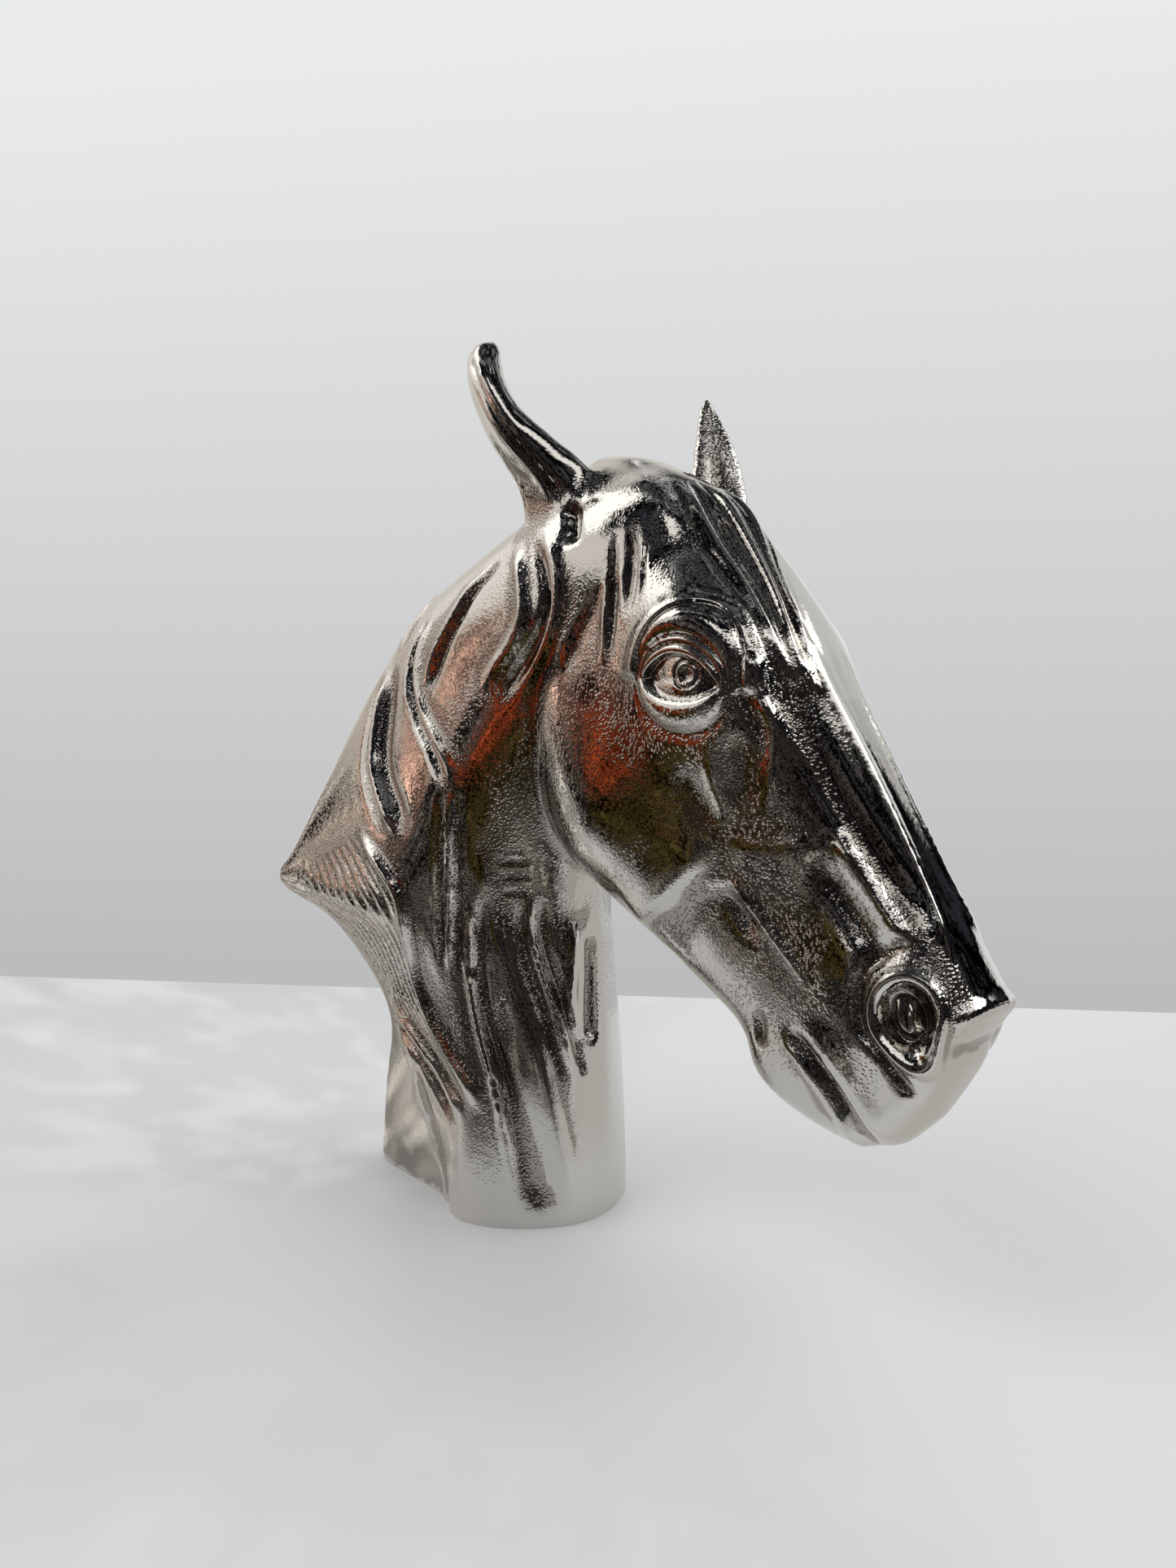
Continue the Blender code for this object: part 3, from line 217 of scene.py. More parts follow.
TEMPLE_STRAND = (
    (0.048, -0.113, 0.124), (0.090, -0.136, 0.140), (0.135, -0.158, 0.148), (0.180, -0.182, 0.156),
    (0.214, -0.206, 0.161),
)
TEMPLE_CREASES = ((0.004, 0.010, 0.0), (0.002, 0.028, 0.0), (-0.004, -0.030, 0.0), (-0.006, -0.042, 0.0))

# Outlines of the ears' sections: across from edge to edge, and outward to the back. The far ear
# opens to the front in a slit between two round rims
NEAR_OUTLINE = (
    (0.52, 0.00), (0.52, 0.42), (0.32, 0.90), (0.00, 1.02), (-0.34, 0.88),
    (-0.56, 0.44), (-0.56, 0.00), (-0.30, -0.02), (0.00, 0.00), (0.30, -0.02),
)
FAR_OUTLINE = (
    (0.52, 0.00), (0.52, 0.42), (0.32, 0.90), (0.00, 1.02), (-0.34, 0.88), (-0.56, 0.44),
    (-0.56, 0.00), (-0.34, -0.12), (-0.14, -0.04), (0.00, 0.30), (0.14, -0.04), (0.34, -0.12),
)


def head_axes():
    """Directions a, b and c of the head's frame, as rows, in the part's frame."""
    turn, drop, roll = (math.radians(angle) for angle in (HEAD_TURN, HEAD_DROP, HEAD_ROLL))
    down = np.array((math.cos(turn) * math.cos(drop), -math.sin(turn) * math.cos(drop), -math.sin(drop)))
    level = np.array((-math.sin(turn), -math.cos(turn), 0.0))
    side = level * math.cos(roll) + np.cross(level, down) * math.sin(roll)
    return np.stack((down, np.cross(side, down), side))


AXES = head_axes()


def head_to_part(abc):
    return np.array(CROWN) * DRAWN + HEAD_LENGTH * np.asarray(abc, float) @ AXES


def part_to_head(xyz):
    return (np.asarray(xyz, float) - np.array(CROWN) * DRAWN) @ AXES.T / HEAD_LENGTH


def smoothstep(low, high, x):
    share = np.clip((x - low) / (high - low), 0.0, 1.0)
    return share * share * (3 - 2 * share)


def bump(x, width):
    """A bell of height one around zero."""
    return np.exp(-((x / width) ** 2))


def smooth_curve(keys, values, at):
    """Smooth curve through the values, one row for each key, read at the given places."""
    keys = np.asarray(keys, float)
    values = np.asarray(values, float)
    slopes = np.gradient(values, keys, axis=0)
    index = np.clip(np.searchsorted(keys, at, side="right") - 1, 0, len(keys) - 2)
    span = (keys[index + 1] - keys[index])[:, None]
    t = (at - keys[index])[:, None] / span
    ease = t * t * (3 - 2 * t)
    leave = t * (1 - t) ** 2 * span * slopes[index]
    arrive = t * t * (t - 1) * span * slopes[index + 1]
    return (1 - ease) * values[index] + ease * values[index + 1] + leave + arrive


def running_length(points):
    steps = np.linalg.norm(np.diff(points, axis=0), axis=-1)
    return np.concatenate(((0.0,), np.cumsum(steps)))


def along_stations(middles, values, rows):
    """Values of the stations, read at even steps along the line of their middles."""
    keys = running_length(middles)
    return smooth_curve(keys, values, np.linspace(0.0, keys[-1], rows))


def closed_outline(points, columns):
    """Smooth closed curve through 2-D points, read at even steps of its length."""
    points = np.asarray(points, float)
    ring = np.vstack((points[-3:], points, points[:4]))
    steps = np.sqrt(np.linalg.norm(np.diff(ring, axis=0), axis=1)) + 1e-6
    keys = np.concatenate(((0.0,), np.cumsum(steps)))
    dense = smooth_curve(keys, ring, np.linspace(keys[3], keys[3 + len(points)], 8 * columns + 1))
    length = running_length(dense)
    wanted = np.linspace(0.0, length[-1], columns, endpoint=False)
    return np.stack([np.interp(wanted, length, dense[:, k]) for k in (0, 1)], axis=1)


def loft_rings(stations, depths, rows, columns):
    """Rings through sections that each hold a front point, a back point and half widths."""
    stations = np.asarray(stations, float)
    middles = (stations[:, 0:3] + stations[:, 3:6]) / 2
    rings = []
    for row in along_stations(middles, stations, rows):
        front, back, widths = row[0:3], row[3:6], np.maximum(row[6:], 1e-4)
        depth = np.linalg.norm(back - front)
        near = np.stack((np.array(depths) * depth, widths), axis=1)
        far = near[::-1] * (1.0, -1.0)
        outline = closed_outline(np.vstack(((0.0, 0.0), near, (depth, 0.0), far)), columns)
        ring = front + outline[:, :1] / depth * (back - front)
        ring[:, 2] += outline[:, 1]
        rings.append(ring)
    return np.array(rings)


def closed_shell(name, rings):
    """Object whose surface joins the rings and closes over the first and the last."""
    mesh = bpy.data.meshes.new(name)
    bm = bmesh.new()
    loops = [[bm.verts.new(point) for point in ring] for ring in rings]
    columns = len(loops[0])
    for lower, upper in zip(loops, loops[1:]):
        for c in range(columns):
            d = (c + 1) % columns
            bm.faces.new((lower[c], lower[d], upper[d], upper[c]))
    for loop in (loops[0], loops[-1]):
        pole = bm.verts.new(sum((vert.co for vert in loop), Vector()) / columns)
        for c in range(columns):
            bm.faces.new((loop[c], loop[(c + 1) % columns], pole))
    bmesh.ops.recalc_face_normals(bm, faces=bm.faces)
    bm.to_mesh(mesh)
    bm.free()
    ob = bpy.data.objects.new(name, mesh)
    bpy.context.collection.objects.link(ob)
    return ob


def head_volume():
    stations = [(a0, b0, 0, a1, b1, 0, *widths) for a0, b0, a1, b1, *widths in HEAD_SECTIONS]
    return closed_shell("head", head_to_part(loft_rings(stations, HEAD_DEPTHS, *HEAD_GRID)))


def neck_volume():
    """The neck and the stand below it, lofted in forward, up and far-side coordinates."""
    half_length, half_width = STAND_LENGTH / 2, STAND_WIDTH / 2
    stations = []
    for up, front, back, front_lean, back_lean, *widths in STAND_SECTIONS:
        height = up * STAND_HEIGHT
        front_point = (front * half_length, height, -front_lean * half_width)
        back_point = (back * half_length, height, back_lean * half_width)
        stations.append((*front_point, *back_point, *(share * half_width for share in widths)))
    for x0, z0, x1, z1, front_lean, back_lean, *widths in NECK_SECTIONS:
        drawn = (x0, z0, -front_lean, x1, z1, back_lean, *widths)
        stations.append(tuple(value * DRAWN for value in drawn))
    rings = loft_rings(stations, NECK_DEPTHS, *NECK_GRID)
    return closed_shell("neck", rings[..., (0, 2, 1)])


def ear_volume(name, sections, outline):
    sections = np.asarray(sections, float)
    rows, columns = EAR_GRID
    outline = closed_outline(outline, columns)
    cups = along_stations(sections.mean(axis=1), sections.reshape(-1, 9), rows).reshape(-1, 3, 3)
    rings = []
    for near, far, back in cups:
        middle = (near + far) / 2
        rings.append(middle + outline[:, :1] * (near - far) + outline[:, 1:] * (back - middle))
    return closed_shell(name, head_to_part(np.array(rings)))


class Clay:
    """The skin as arrays: places, normals and how far each point lies from the head and the neck."""

    def __init__(self, ob, head_tree, neck_tree):
        self.ob = ob
        self.trees = head_tree, neck_tree
        self.to_head = self.to_neck = ()
        self.read()

    def read(self):
        mesh = self.ob.data
        count = len(mesh.vertices)
        self.co = np.empty(3 * count)
        self.no = np.empty(3 * count)
        mesh.vertices.foreach_get("co", self.co)
        mesh.vertices.foreach_get("normal", self.no)
        self.co = self.co.reshape(-1, 3)
        self.no = self.no.reshape(-1, 3)
        self.lift = np.zeros(count)
        edges = np.empty(2 * len(mesh.edges), dtype=np.int32)
        mesh.edges.foreach_get("vertices", edges)
        edges = edges.reshape(-1, 2)
        self.ends = np.concatenate((edges, edges[:, ::-1]))
        self.links = np.bincount(self.ends[:, 0], minlength=count)
        if len(self.to_head) != count:
            self.to_head, self.to_neck = (
                np.array([tree.find_nearest(place)[3] for place in self.co]) for tree in self.trees
            )
        self.head = smoothstep(-3 * DRAWN, 3 * DRAWN, self.to_neck - self.to_head)
        self.abc = part_to_head(self.co)

    def neighbours(self, values):
        return np.bincount(self.ends[:, 0], values[self.ends[:, 1]], len(self.links)) / self.links

    def write(self):
        mesh = self.ob.data
        mesh.vertices.foreach_set("co", self.co.ravel())
        mesh.update()
        self.read()

    def press(self, rounds):
        """Move the skin along its normals by the lift gathered so far, evened out first."""
        for _ in range(rounds):
            self.lift = (self.lift + self.neighbours(self.lift)) / 2
        self.co += self.no * self.lift[:, None]
        self.write()

    def relax(self, weight, rounds):
        """Even out the skin where the weight is high."""
        for _ in range(rounds):
            mean = np.stack([self.neighbours(self.co[:, k]) for k in range(3)], axis=1)
            self.co += weight[:, None] * RELAX_SHARE * (mean - self.co)
        self.write()

    def stroke(self, points, height, left, right, ends, share):
        """Raise a ridge, or press a groove where height is negative, along a smooth curve.

        left and right are its half widths, and ends the shares of its length over which it fades.
        """
        keys = running_length(points)
        path = smooth_curve(keys, points, np.linspace(0.0, keys[-1], STROKE_SAMPLES))
        reach = 3 * max(left, right) + STROKE_MARGIN
        near = np.all((self.co > path.min(axis=0) - reach) & (self.co < path.max(axis=0) + reach), axis=1)
        chosen = np.nonzero(near)[0]
        places, normals = self.co[chosen], self.no[chosen]
        best = np.full(len(chosen), np.inf)
        side = np.zeros(len(chosen))
        progress = np.full(len(chosen), -1.0)
        steps = STROKE_SAMPLES - 1
        for i in range(steps):
            step = path[i + 1] - path[i]
            share_of_step = np.clip((places - path[i]) @ step / (step @ step), 0.0, 1.0)
            gap = places - path[i] - share_of_step[:, None] * step
            depth = np.einsum("ij,ij->i", gap, normals)
            flat = gap - depth[:, None] * normals
            distance = np.linalg.norm(flat, axis=1)
            total = distance + DEPTH_WEIGHT * np.abs(depth)
            closer = total < best
            across = np.cross(np.broadcast_to(step, normals.shape), normals)
            signed = distance * np.sign(np.einsum("ij,ij->i", flat, across))
            place = np.where(np.abs(depth) > STROKE_REACH, -1.0, (i + share_of_step) / steps)
            best = np.where(closer, total, best)
            side = np.where(closer, signed, side)
            progress = np.where(closer, place, progress)
        shape = bump(side, np.where(side > 0, right, left))
        fade = smoothstep(0.0, ends[0], progress) * smoothstep(0.0, ends[1], 1.0 - progress)
        self.lift[chosen] += height * shape * np.where(progress < 0, 0.0, fade) * share[chosen]


def shifted(points, step):
    return np.asarray(points, float) + step


def ear_skin(clay, low, high):
    """One on the ears, and falling to nothing at their roots, between two distances in drawn units."""
    return smoothstep(low * DRAWN, high * DRAWN, np.minimum(clay.to_head, clay.to_neck))


def carve_head(clay, points, height, left, right=None, ends=(0.2, 0.2), both=True):
    """Stroke on the head, in head lengths, on one side or mirrored to both."""
    right = left if right is None else right
    for mirror in (1, -1) if both else (1,):
        widths = (left, right)[::mirror]
        curve = head_to_part(np.array(points) * (1, 1, mirror))
        clay.stroke(curve, height * HEAD_LENGTH, *(w * HEAD_LENGTH for w in widths), ends, clay.head)


def neck_middle(up):
    """How far the middle of the neck lies to the far side, at a height."""
    return np.interp(up, *NECK_BEND)


def carve_neck(clay, points, height, left, right=None, ends=(0.2, 0.2), share=None):
    """Stroke on both sides of the neck, in drawn units."""
    right = left if right is None else right
    share = 1 - clay.head if share is None else share
    for mirror in (1, -1):
        widths = (left, right)[::mirror]
        curve = np.array(points, float)
        if mirror < 0:
            curve[:, 1] = 2 * neck_middle(curve[:, 2]) - curve[:, 1]
        clay.stroke(curve * DRAWN, height * DRAWN, *(w * DRAWN for w in widths), ends, share)


def cheek_crease(clay):
    """Crease where the round cheek stands over the neck."""
    band = bump(np.maximum(clay.to_head, clay.to_neck), 3 * DRAWN)
    clay.lift -= 2 * DRAWN * band * smoothstep(-0.33, -0.42, clay.abc[:, 1])


def nose(clay):
    """Flat bridge between two crisp edges, its end over the lips, and the muscle to the nostril."""
    edge = (
        (0.30, -0.004, 0.052), (0.44, -0.004, 0.043), (0.60, -0.004, 0.036), (0.752, -0.004, 0.040),
        (0.86, -0.006, 0.052),
    )
    carve_head(clay, edge, 0.006, 0.010, ends=(0.3, 0.1))
    carve_head(clay, [(a, b, 0.0) for a, b, c in edge], -0.003, 0.02, both=False)
    bridge_end = (
        (0.918, -0.050, 0.098), (0.926, -0.025, 0.069), (0.927, -0.008, 0.040), (0.928, -0.003, 0.0),
    )
    carve_head(clay, bridge_end, 0.006, 0.009, ends=(0.3, 0.01))
    lip_hollow = ((0.960, -0.070, 0.070), (0.966, -0.052, 0.045), (0.970, -0.045, 0.0))
    carve_head(clay, lip_hollow, -0.006, 0.016, ends=(0.3, 0.01))
    beside = (
        (0.36, -0.020, 0.095), (0.45, -0.040, 0.085), (0.60, -0.045, 0.075), (0.70, -0.036, 0.068),
        (0.81, -0.020, 0.062),
    )
    carve_head(clay, beside, -0.010, 0.020, ends=(0.3, 0.2))
    muscle = (
        (0.623, -0.075, 0.083), (0.660, -0.070, 0.079), (0.718, -0.060, 0.080), (0.776, -0.050, 0.081),
        (0.835, -0.045, 0.080),
    )
    carve_head(clay, muscle, 0.014, 0.012, 0.014, ends=(0.25, 0.2))
    carve_head(clay, shifted(muscle, (0.01, -0.044, 0.004)), -0.014, 0.016, ends=(0.3, 0.3))


def cheek(clay):
    """Folds below the eye, the front edge of the cheek muscle and the sinew to the mouth."""
    inner_ridge = (
        (0.360, -0.043, 0.131), (0.416, -0.063, 0.129), (0.450, -0.066, 0.122), (0.490, -0.068, 0.112),
    )
    carve_head(clay, inner_ridge, 0.009, 0.009, ends=(0.2, 0.3))
    carve_head(clay, shifted(inner_ridge, (0.0, -0.022, 0.008)), -0.007, 0.008, ends=(0.2, 0.3))
    corner_fold = (
        (0.415, -0.070, 0.130), (0.48, -0.078, 0.112), (0.53, -0.115, 0.112), (0.575, -0.16, 0.108),
    )
    carve_head(clay, corner_fold, 0.009, 0.016, 0.009, ends=(0.15, 0.5))
    under_fold = ((0.44, -0.12, 0.14), (0.50, -0.14, 0.125), (0.55, -0.18, 0.112))
    carve_head(clay, under_fold, -0.008, 0.022, ends=(0.3, 0.3))
    second_fold = ((0.43, -0.165, 0.148), (0.50, -0.195, 0.13), (0.56, -0.215, 0.115))
    carve_head(clay, second_fold, 0.005, 0.012, ends=(0.4, 0.3))
    cheek_hollow = ((0.44, -0.24, 0.14), (0.50, -0.235, 0.13), (0.55, -0.235, 0.115))
    carve_head(clay, cheek_hollow, -0.006, 0.025, ends=(0.3, 0.3))
    front_edge = ((0.60, -0.475, 0.075), (0.592, -0.37, 0.10), (0.575, -0.29, 0.11), (0.572, -0.235, 0.11))
    carve_head(clay, front_edge, 0.013, 0.060, 0.014, ends=(0.15, 0.3))
    carve_head(clay, ((0.645, -0.43, 0.07), (0.64, -0.35, 0.09), (0.63, -0.28, 0.10)), -0.007, 0.025, 0.05)
    upper_crease = ((0.575, -0.240, 0.108), (0.60, -0.19, 0.10), (0.625, -0.13, 0.09), (0.655, -0.08, 0.085))
    carve_head(clay, upper_crease, 0.006, 0.012, 0.050, ends=(0.25, 0.3))
    sinew = (
        (0.615, -0.255, 0.098), (0.665, -0.245, 0.089), (0.71, -0.236, 0.085), (0.785, -0.216, 0.086),
        (0.83, -0.206, 0.09),
    )
    carve_head(clay, sinew, 0.012, 0.0055, ends=(0.1, 0.4))
    sinew_hollow = ((0.615, -0.285, 0.098), (0.661, -0.275, 0.090), (0.730, -0.258, 0.084))
    carve_head(clay, sinew_hollow, -0.015, 0.013, ends=(0.3, 0.4))


def mouth(clay):
    """Slit between the lips, their full edges and the fold of the chin."""
    slit = (
        (0.845, -0.284, 0.080), (0.884, -0.260, 0.085), (0.93, -0.249, 0.081), (0.976, -0.246, 0.069),
        (1.01, -0.248, 0.050), (1.045, -0.246, 0.0),
    )
    carve_head(clay, slit, -0.014, 0.007, 0.012, ends=(0.12, 0.25))
    carve_head(clay, shifted(slit, (-0.003, 0.028, 0.0)), 0.006, 0.018, ends=(0.3, 0.3))
    carve_head(clay, shifted(slit, (-0.004, -0.022, -0.004)), 0.008, 0.010, ends=(0.2, 0.3))
    chin_fold = ((0.800, -0.325, 0.066), (0.835, -0.335, 0.066), (0.85, -0.35, 0.06))
    carve_head(clay, chin_fold, -0.008, 0.010, ends=(0.3, 0.3))


def forelock(clay):
    """Long locks from between the ears that meet in a point over the nose, on the near side only."""
    near_lock, far_lock, last_lock = FORELOCK
    carve_head(clay, near_lock, 0.010, 0.007, 0.014, ends=(0.2, 0.1), both=False)
    beside = shifted(near_lock, (-0.006, -0.020, 0.010))
    carve_head(clay, beside, -0.005, 0.008, ends=(0.2, 0.3), both=False)
    carve_head(clay, far_lock, 0.010, 0.008, 0.010, ends=(0.2, 0.1), both=False)
    carve_head(clay, last_lock, 0.008, 0.008, ends=(0.2, 0.2), both=False)
    between = (np.array(near_lock[1:6]) + np.array(far_lock[1:6])) / 2
    carve_head(clay, between, -0.005, 0.010, ends=(0.2, 0.3), both=False)
    lock_end = ((0.385, -0.006, 0.064), (0.415, -0.012, 0.066), (0.445, -0.018, 0.060))
    carve_head(clay, lock_end, 0.006, 0.008, ends=(0.4, 0.2), both=False)


def temple(clay):
    """Strands and creases from the crown down past the eye, and the ridges behind it."""
    ridge = (
        (-0.005, -0.160, 0.115), (0.056, -0.165, 0.146), (0.102, -0.185, 0.153), (0.144, -0.211, 0.153),
        (0.186, -0.237, 0.156), (0.229, -0.263, 0.159), (0.262, -0.292, 0.157),
    )
    carve_head(clay, ridge, 0.008, 0.006, ends=(0.15, 0.3))
    carve_head(clay, shifted(ridge, (0.0, 0.015, 0.0)), -0.010, 0.006, ends=(0.1, 0.3))
    strip = ((0.040, -0.134, 0.135), (0.091, -0.154, 0.148), (0.137, -0.176, 0.154), (0.180, -0.202, 0.159))
    carve_head(clay, strip, 0.006, 0.008, ends=(0.2, 0.3))
    carve_head(clay, TEMPLE_STRAND, -0.008, 0.006, ends=(0.2, 0.3))
    carve_head(clay, shifted(TEMPLE_STRAND[:4], (0.005, 0.018, 0.0)), 0.006, 0.007, ends=(0.2, 0.3))
    behind = ((0.105, -0.235, 0.162), (0.129, -0.251, 0.161), (0.160, -0.303, 0.161), (0.205, -0.370, 0.158))
    carve_head(clay, behind, 0.010, 0.009, ends=(0.15, 0.35))
    carve_head(clay, shifted(behind, (0.018, 0.012, 0.0)), -0.007, 0.010, ends=(0.15, 0.35))
    over_brow = (
        (0.225, -0.085, 0.150), (0.241, -0.060, 0.137), (0.265, -0.043, 0.124), (0.298, -0.034, 0.121),
    )
    carve_head(clay, over_brow, -0.006, 0.014, ends=(0.3, 0.3))
    wrinkle = ((0.320, -0.047, 0.143), (0.358, -0.050, 0.139), (0.387, -0.051, 0.138))
    carve_head(clay, wrinkle, -0.004, 0.004, ends=(0.3, 0.3))
    carve_head(clay, shifted(wrinkle, (-0.004, 0.014, -0.004)), -0.003, 0.004, ends=(0.3, 0.3))


def mane(clay):
    """Locks that fall from the crest, the band of fine strands and the lock that ends on the stand."""
    everywhere = np.ones(len(clay.co))
    ear_lock = (
        (31, -42, 256), (35, -50, 239), (36, -51, 229), (31, -48, 218), (22, -47, 208), (16, -46, 199),
    )
    ear_crease = (
        (40, -47, 256), (44, -56, 243), (46, -56, 232), (41, -53, 219), (31, -50, 206), (24, -48, 196),
    )
    outer_lock = (
        (43, -47, 260), (50, -55, 246), (51, -55, 232), (46, -53, 219), (39, -50, 209), (30, -48, 196),
    )
    carve_neck(clay, ear_lock, 3.0, 2.4, ends=(0.2, 0.25), share=everywhere)
    carve_neck(clay, ear_crease, -3.4, 1.9, ends=(0.2, 0.25), share=everywhere)
    carve_neck(clay, outer_lock, 2.4, 2.6, ends=(0.2, 0.3), share=everywhere)
    parting = (
        (24, -40, 250), (10, -37, 240), (3, -37, 230), (-3, -36, 220), (-7, -35, 210), (-11, -35, 200),
    )
    carve_neck(clay, parting, -2.8, 1.8, ends=(0.25, 0.2))
    carve_neck(clay, shifted(parting, (-5, 0, 0)), 2.2, 2.4, ends=(0.25, 0.3))
    long_crease = (
        (-16, -24, 232), (-22, -27, 214), (-21, -30, 202), (-16, -34, 191), (-9, -39, 182), (-2, -42, 172),
        (1, -43, 162),
    )
    carve_neck(clay, long_crease, -2.8, 1.8, ends=(0.2, 0.2))
    carve_neck(clay, shifted(long_crease, (4.5, 0, 2)), 2.4, 2.0, ends=(0.2, 0.3))
    carve_neck(clay, shifted(long_crease[:4], (-4, 0, 0)), 1.6, 2.2, ends=(0.2, 0.3))
    crest_lock = ((-18, -10, 246), (-26, -13, 237), (-33, -14, 226), (-38, -15, 214))
    carve_neck(clay, crest_lock, 2.2, 1.8, ends=(0.3, 0.3))
    carve_neck(clay, shifted(crest_lock, (-4, 0, 0)), -1.6, 2.0, ends=(0.3, 0.3))
    side_lock = (
        (-37, -14, 217), (-40, -17, 208), (-42, -22, 190), (-40, -26, 173), (-32, -33, 159), (-22, -38, 146),
    )
    carve_neck(clay, side_lock, 3.8, 2.8, ends=(0.3, 0.15))
    carve_neck(clay, shifted(side_lock, (-7, 3, -1)), -2.6, 2.8, ends=(0.3, 0.2))
    carve_neck(clay, shifted(side_lock, (8, 0, 0)), -2.6, 4.0, ends=(0.3, 0.2))
    band_top = np.array((
        (-48, -24, 148), (-33, -36, 136), (-22, -40, 124), (-20, -37, 106), (-19, -32, 90), (-12, -31, 75),
        (-2, -35, 62), (7, -39, 52), (14, -42, 42),
    ))
    band_foot = np.array((
        (-90, -3, 125), (-78, -7, 109), (-66, -9, 97), (-54, -9, 85), (-42, -10, 72), (-26, -22, 62),
        (-13, -27, 52), (-4, -32, 43), (5, -37, 36),
    ))
    carve_neck(clay, band_top, 3.4, 2.2, 3.4, ends=(0.15, 0.1))
    for k in range(STRANDS):
        share = (k + 0.7) / (STRANDS + 0.4)
        strand = band_top + (band_foot - band_top) * share
        carve_neck(clay, strand, -STRAND_CUT, STRAND_SPAN / 2, ends=(0.1, 0.1))
    carve_neck(clay, shifted(band_foot[4:], (2, -1, 3)), 2.4, 2.6, ends=(0.2, 0.15))
    carve_neck(clay, shifted(band_foot[4:], (0, 0, -4)), -3.0, 2.6, ends=(0.2, 0.25))


def neck_muscles(clay):
    """Long muscles, folds of the throat and the windpipe, down to the stand."""
    cord = ((2, -43, 166), (1, -41, 151), (0, -39, 135), (-1, -37, 114), (-1, -37, 92))
    carve_neck(clay, cord, 1.6, 1.5, ends=(0.1, 0.2))
    for step in (-3.6, 3.6):
        carve_neck(clay, shifted(cord, (step, 0, 0)), -2.0, 1.6, ends=(0.1, 0.2))
    muscle = ((12, -38, 143), (14, -38, 125), (18, -37, 108), (23, -36, 92), (27, -36, 79), (31, -36, 66))
    carve_neck(clay, muscle, 1.8, 3.6, ends=(0.2, 0.3))
    long_fold = (
        (11, -38, 130), (8, -38, 115), (7, -37, 96), (9, -37, 83), (13, -38, 69), (19, -41, 53),
        (23, -42, 38), (26, -42, 22), (28, -42, 8),
    )
    carve_neck(clay, long_fold, 2.8, 1.5, ends=(0.15, 0.3))
    carve_neck(clay, shifted(long_fold, (4.2, 0, 0)), -2.4, 2.0, ends=(0.15, 0.2))
    broad_hollow = ((18, -38, 90), (22, -39, 66), (28, -40, 46), (33, -40, 28), (37, -38, 4))
    carve_neck(clay, broad_hollow, -2.6, 4.2, ends=(0.2, 0.15))
    shin = ((28, -33, 89), (34, -34, 67), (41, -34, 40), (46, -32, 12), (47, -31, -6))
    carve_neck(clay, shin, 2.4, 3.2, 5.0, ends=(0.25, 0.35))
    throat_fold = (
        (30, -33, 126), (31, -33, 109), (34, -32, 97), (38, -31, 86), (42, -31, 76), (45, -30, 65),
        (48, -28, 54),
    )
    carve_neck(clay, throat_fold, 2.8, 1.6, ends=(0.15, 0.2))
    carve_neck(clay, shifted(throat_fold[:5], (-4, 0, -2)), -2.4, 1.9, ends=(0.2, 0.2))
    carve_neck(clay, shifted(throat_fold, (4, 2, 1)), -2.2, 1.8, ends=(0.15, 0.1))
    windpipe = ((45, -23, 116), (45, -25, 98), (44, -26, 83), (47, -26, 68))
    carve_neck(clay, windpipe, 2.4, 1.5, ends=(0.15, 0.15))
    throat_hollow = ((48, -15, 110), (49, -16, 94), (49, -18, 80), (50, -20, 66))
    carve_neck(clay, throat_hollow, -3.4, 3.0, ends=(0.15, 0.15))
    for up in (137, 131, 125):
        carve_neck(clay, ((18, -37, up), (25, -36, up + 1), (32, -34, up)), -0.9, 1.1, ends=(0.3, 0.3))
    stand_crease = ((-26, -18, 62), (-21, -22, 40), (-14, -25, 22), (-6, -30, 0), (-2, -32, -14))
    carve_neck(clay, stand_crease, -1.8, 3.0, ends=(0.3, 0.01))


def near_ear_slit(clay):
    """Narrow opening beside the rim of the near ear, down to the pocket under its root."""
    at_ear = ear_skin(clay, 1.5, 4)
    slit = (
        (15, -47, 323), (19, -54, 315), (22, -56, 308), (26, -57, 301), (30, -57, 295), (35, -56, 288),
        (39, -55, 283), (43, -53, 278), (48, -51, 272), (53, -51, 266),
    )
    clay.stroke(np.array(slit) * DRAWN, -2.2 * DRAWN, 1.5 * DRAWN, 1.5 * DRAWN, (0.1, 0.05), at_ear)
    pocket = ((54, -50, 268), (55, -53, 263), (56, -55, 257), (56, -56, 251))
    everywhere = np.ones(len(clay.co))
    clay.stroke(np.array(pocket) * DRAWN, -5.0 * DRAWN, 2.8 * DRAWN, 2.8 * DRAWN, (0.25, 0.25), everywhere)


def side_plane(clay, centre, degrees):
    """Coordinates along and up from a place on the sides of the head, the same on both sides."""
    turn = math.radians(degrees)
    flat = clay.abc[:, :2] - centre
    along = flat @ (math.cos(turn), math.sin(turn))
    up = flat @ (-math.sin(turn), math.cos(turn))
    return along, up


def outside_ellipse(u, v, half_length, half_height):
    """Distance outside an ellipse around the origin, negative inside it."""
    level = np.hypot(u / half_length, v / half_height) + 1e-6
    return (level - 1) * np.hypot(u, v) / level


def soft_roll(past_inner, before_outer, fullness, lean=1.0):
    """Height of a rounded roll that fills the band between an inner and an outer curve."""
    width = np.maximum(past_inner + before_outer, 1e-4)
    share = np.clip(past_inner / width, 0.0, 1.0) ** lean
    return fullness * width * np.sin(math.pi * share) ** 0.8


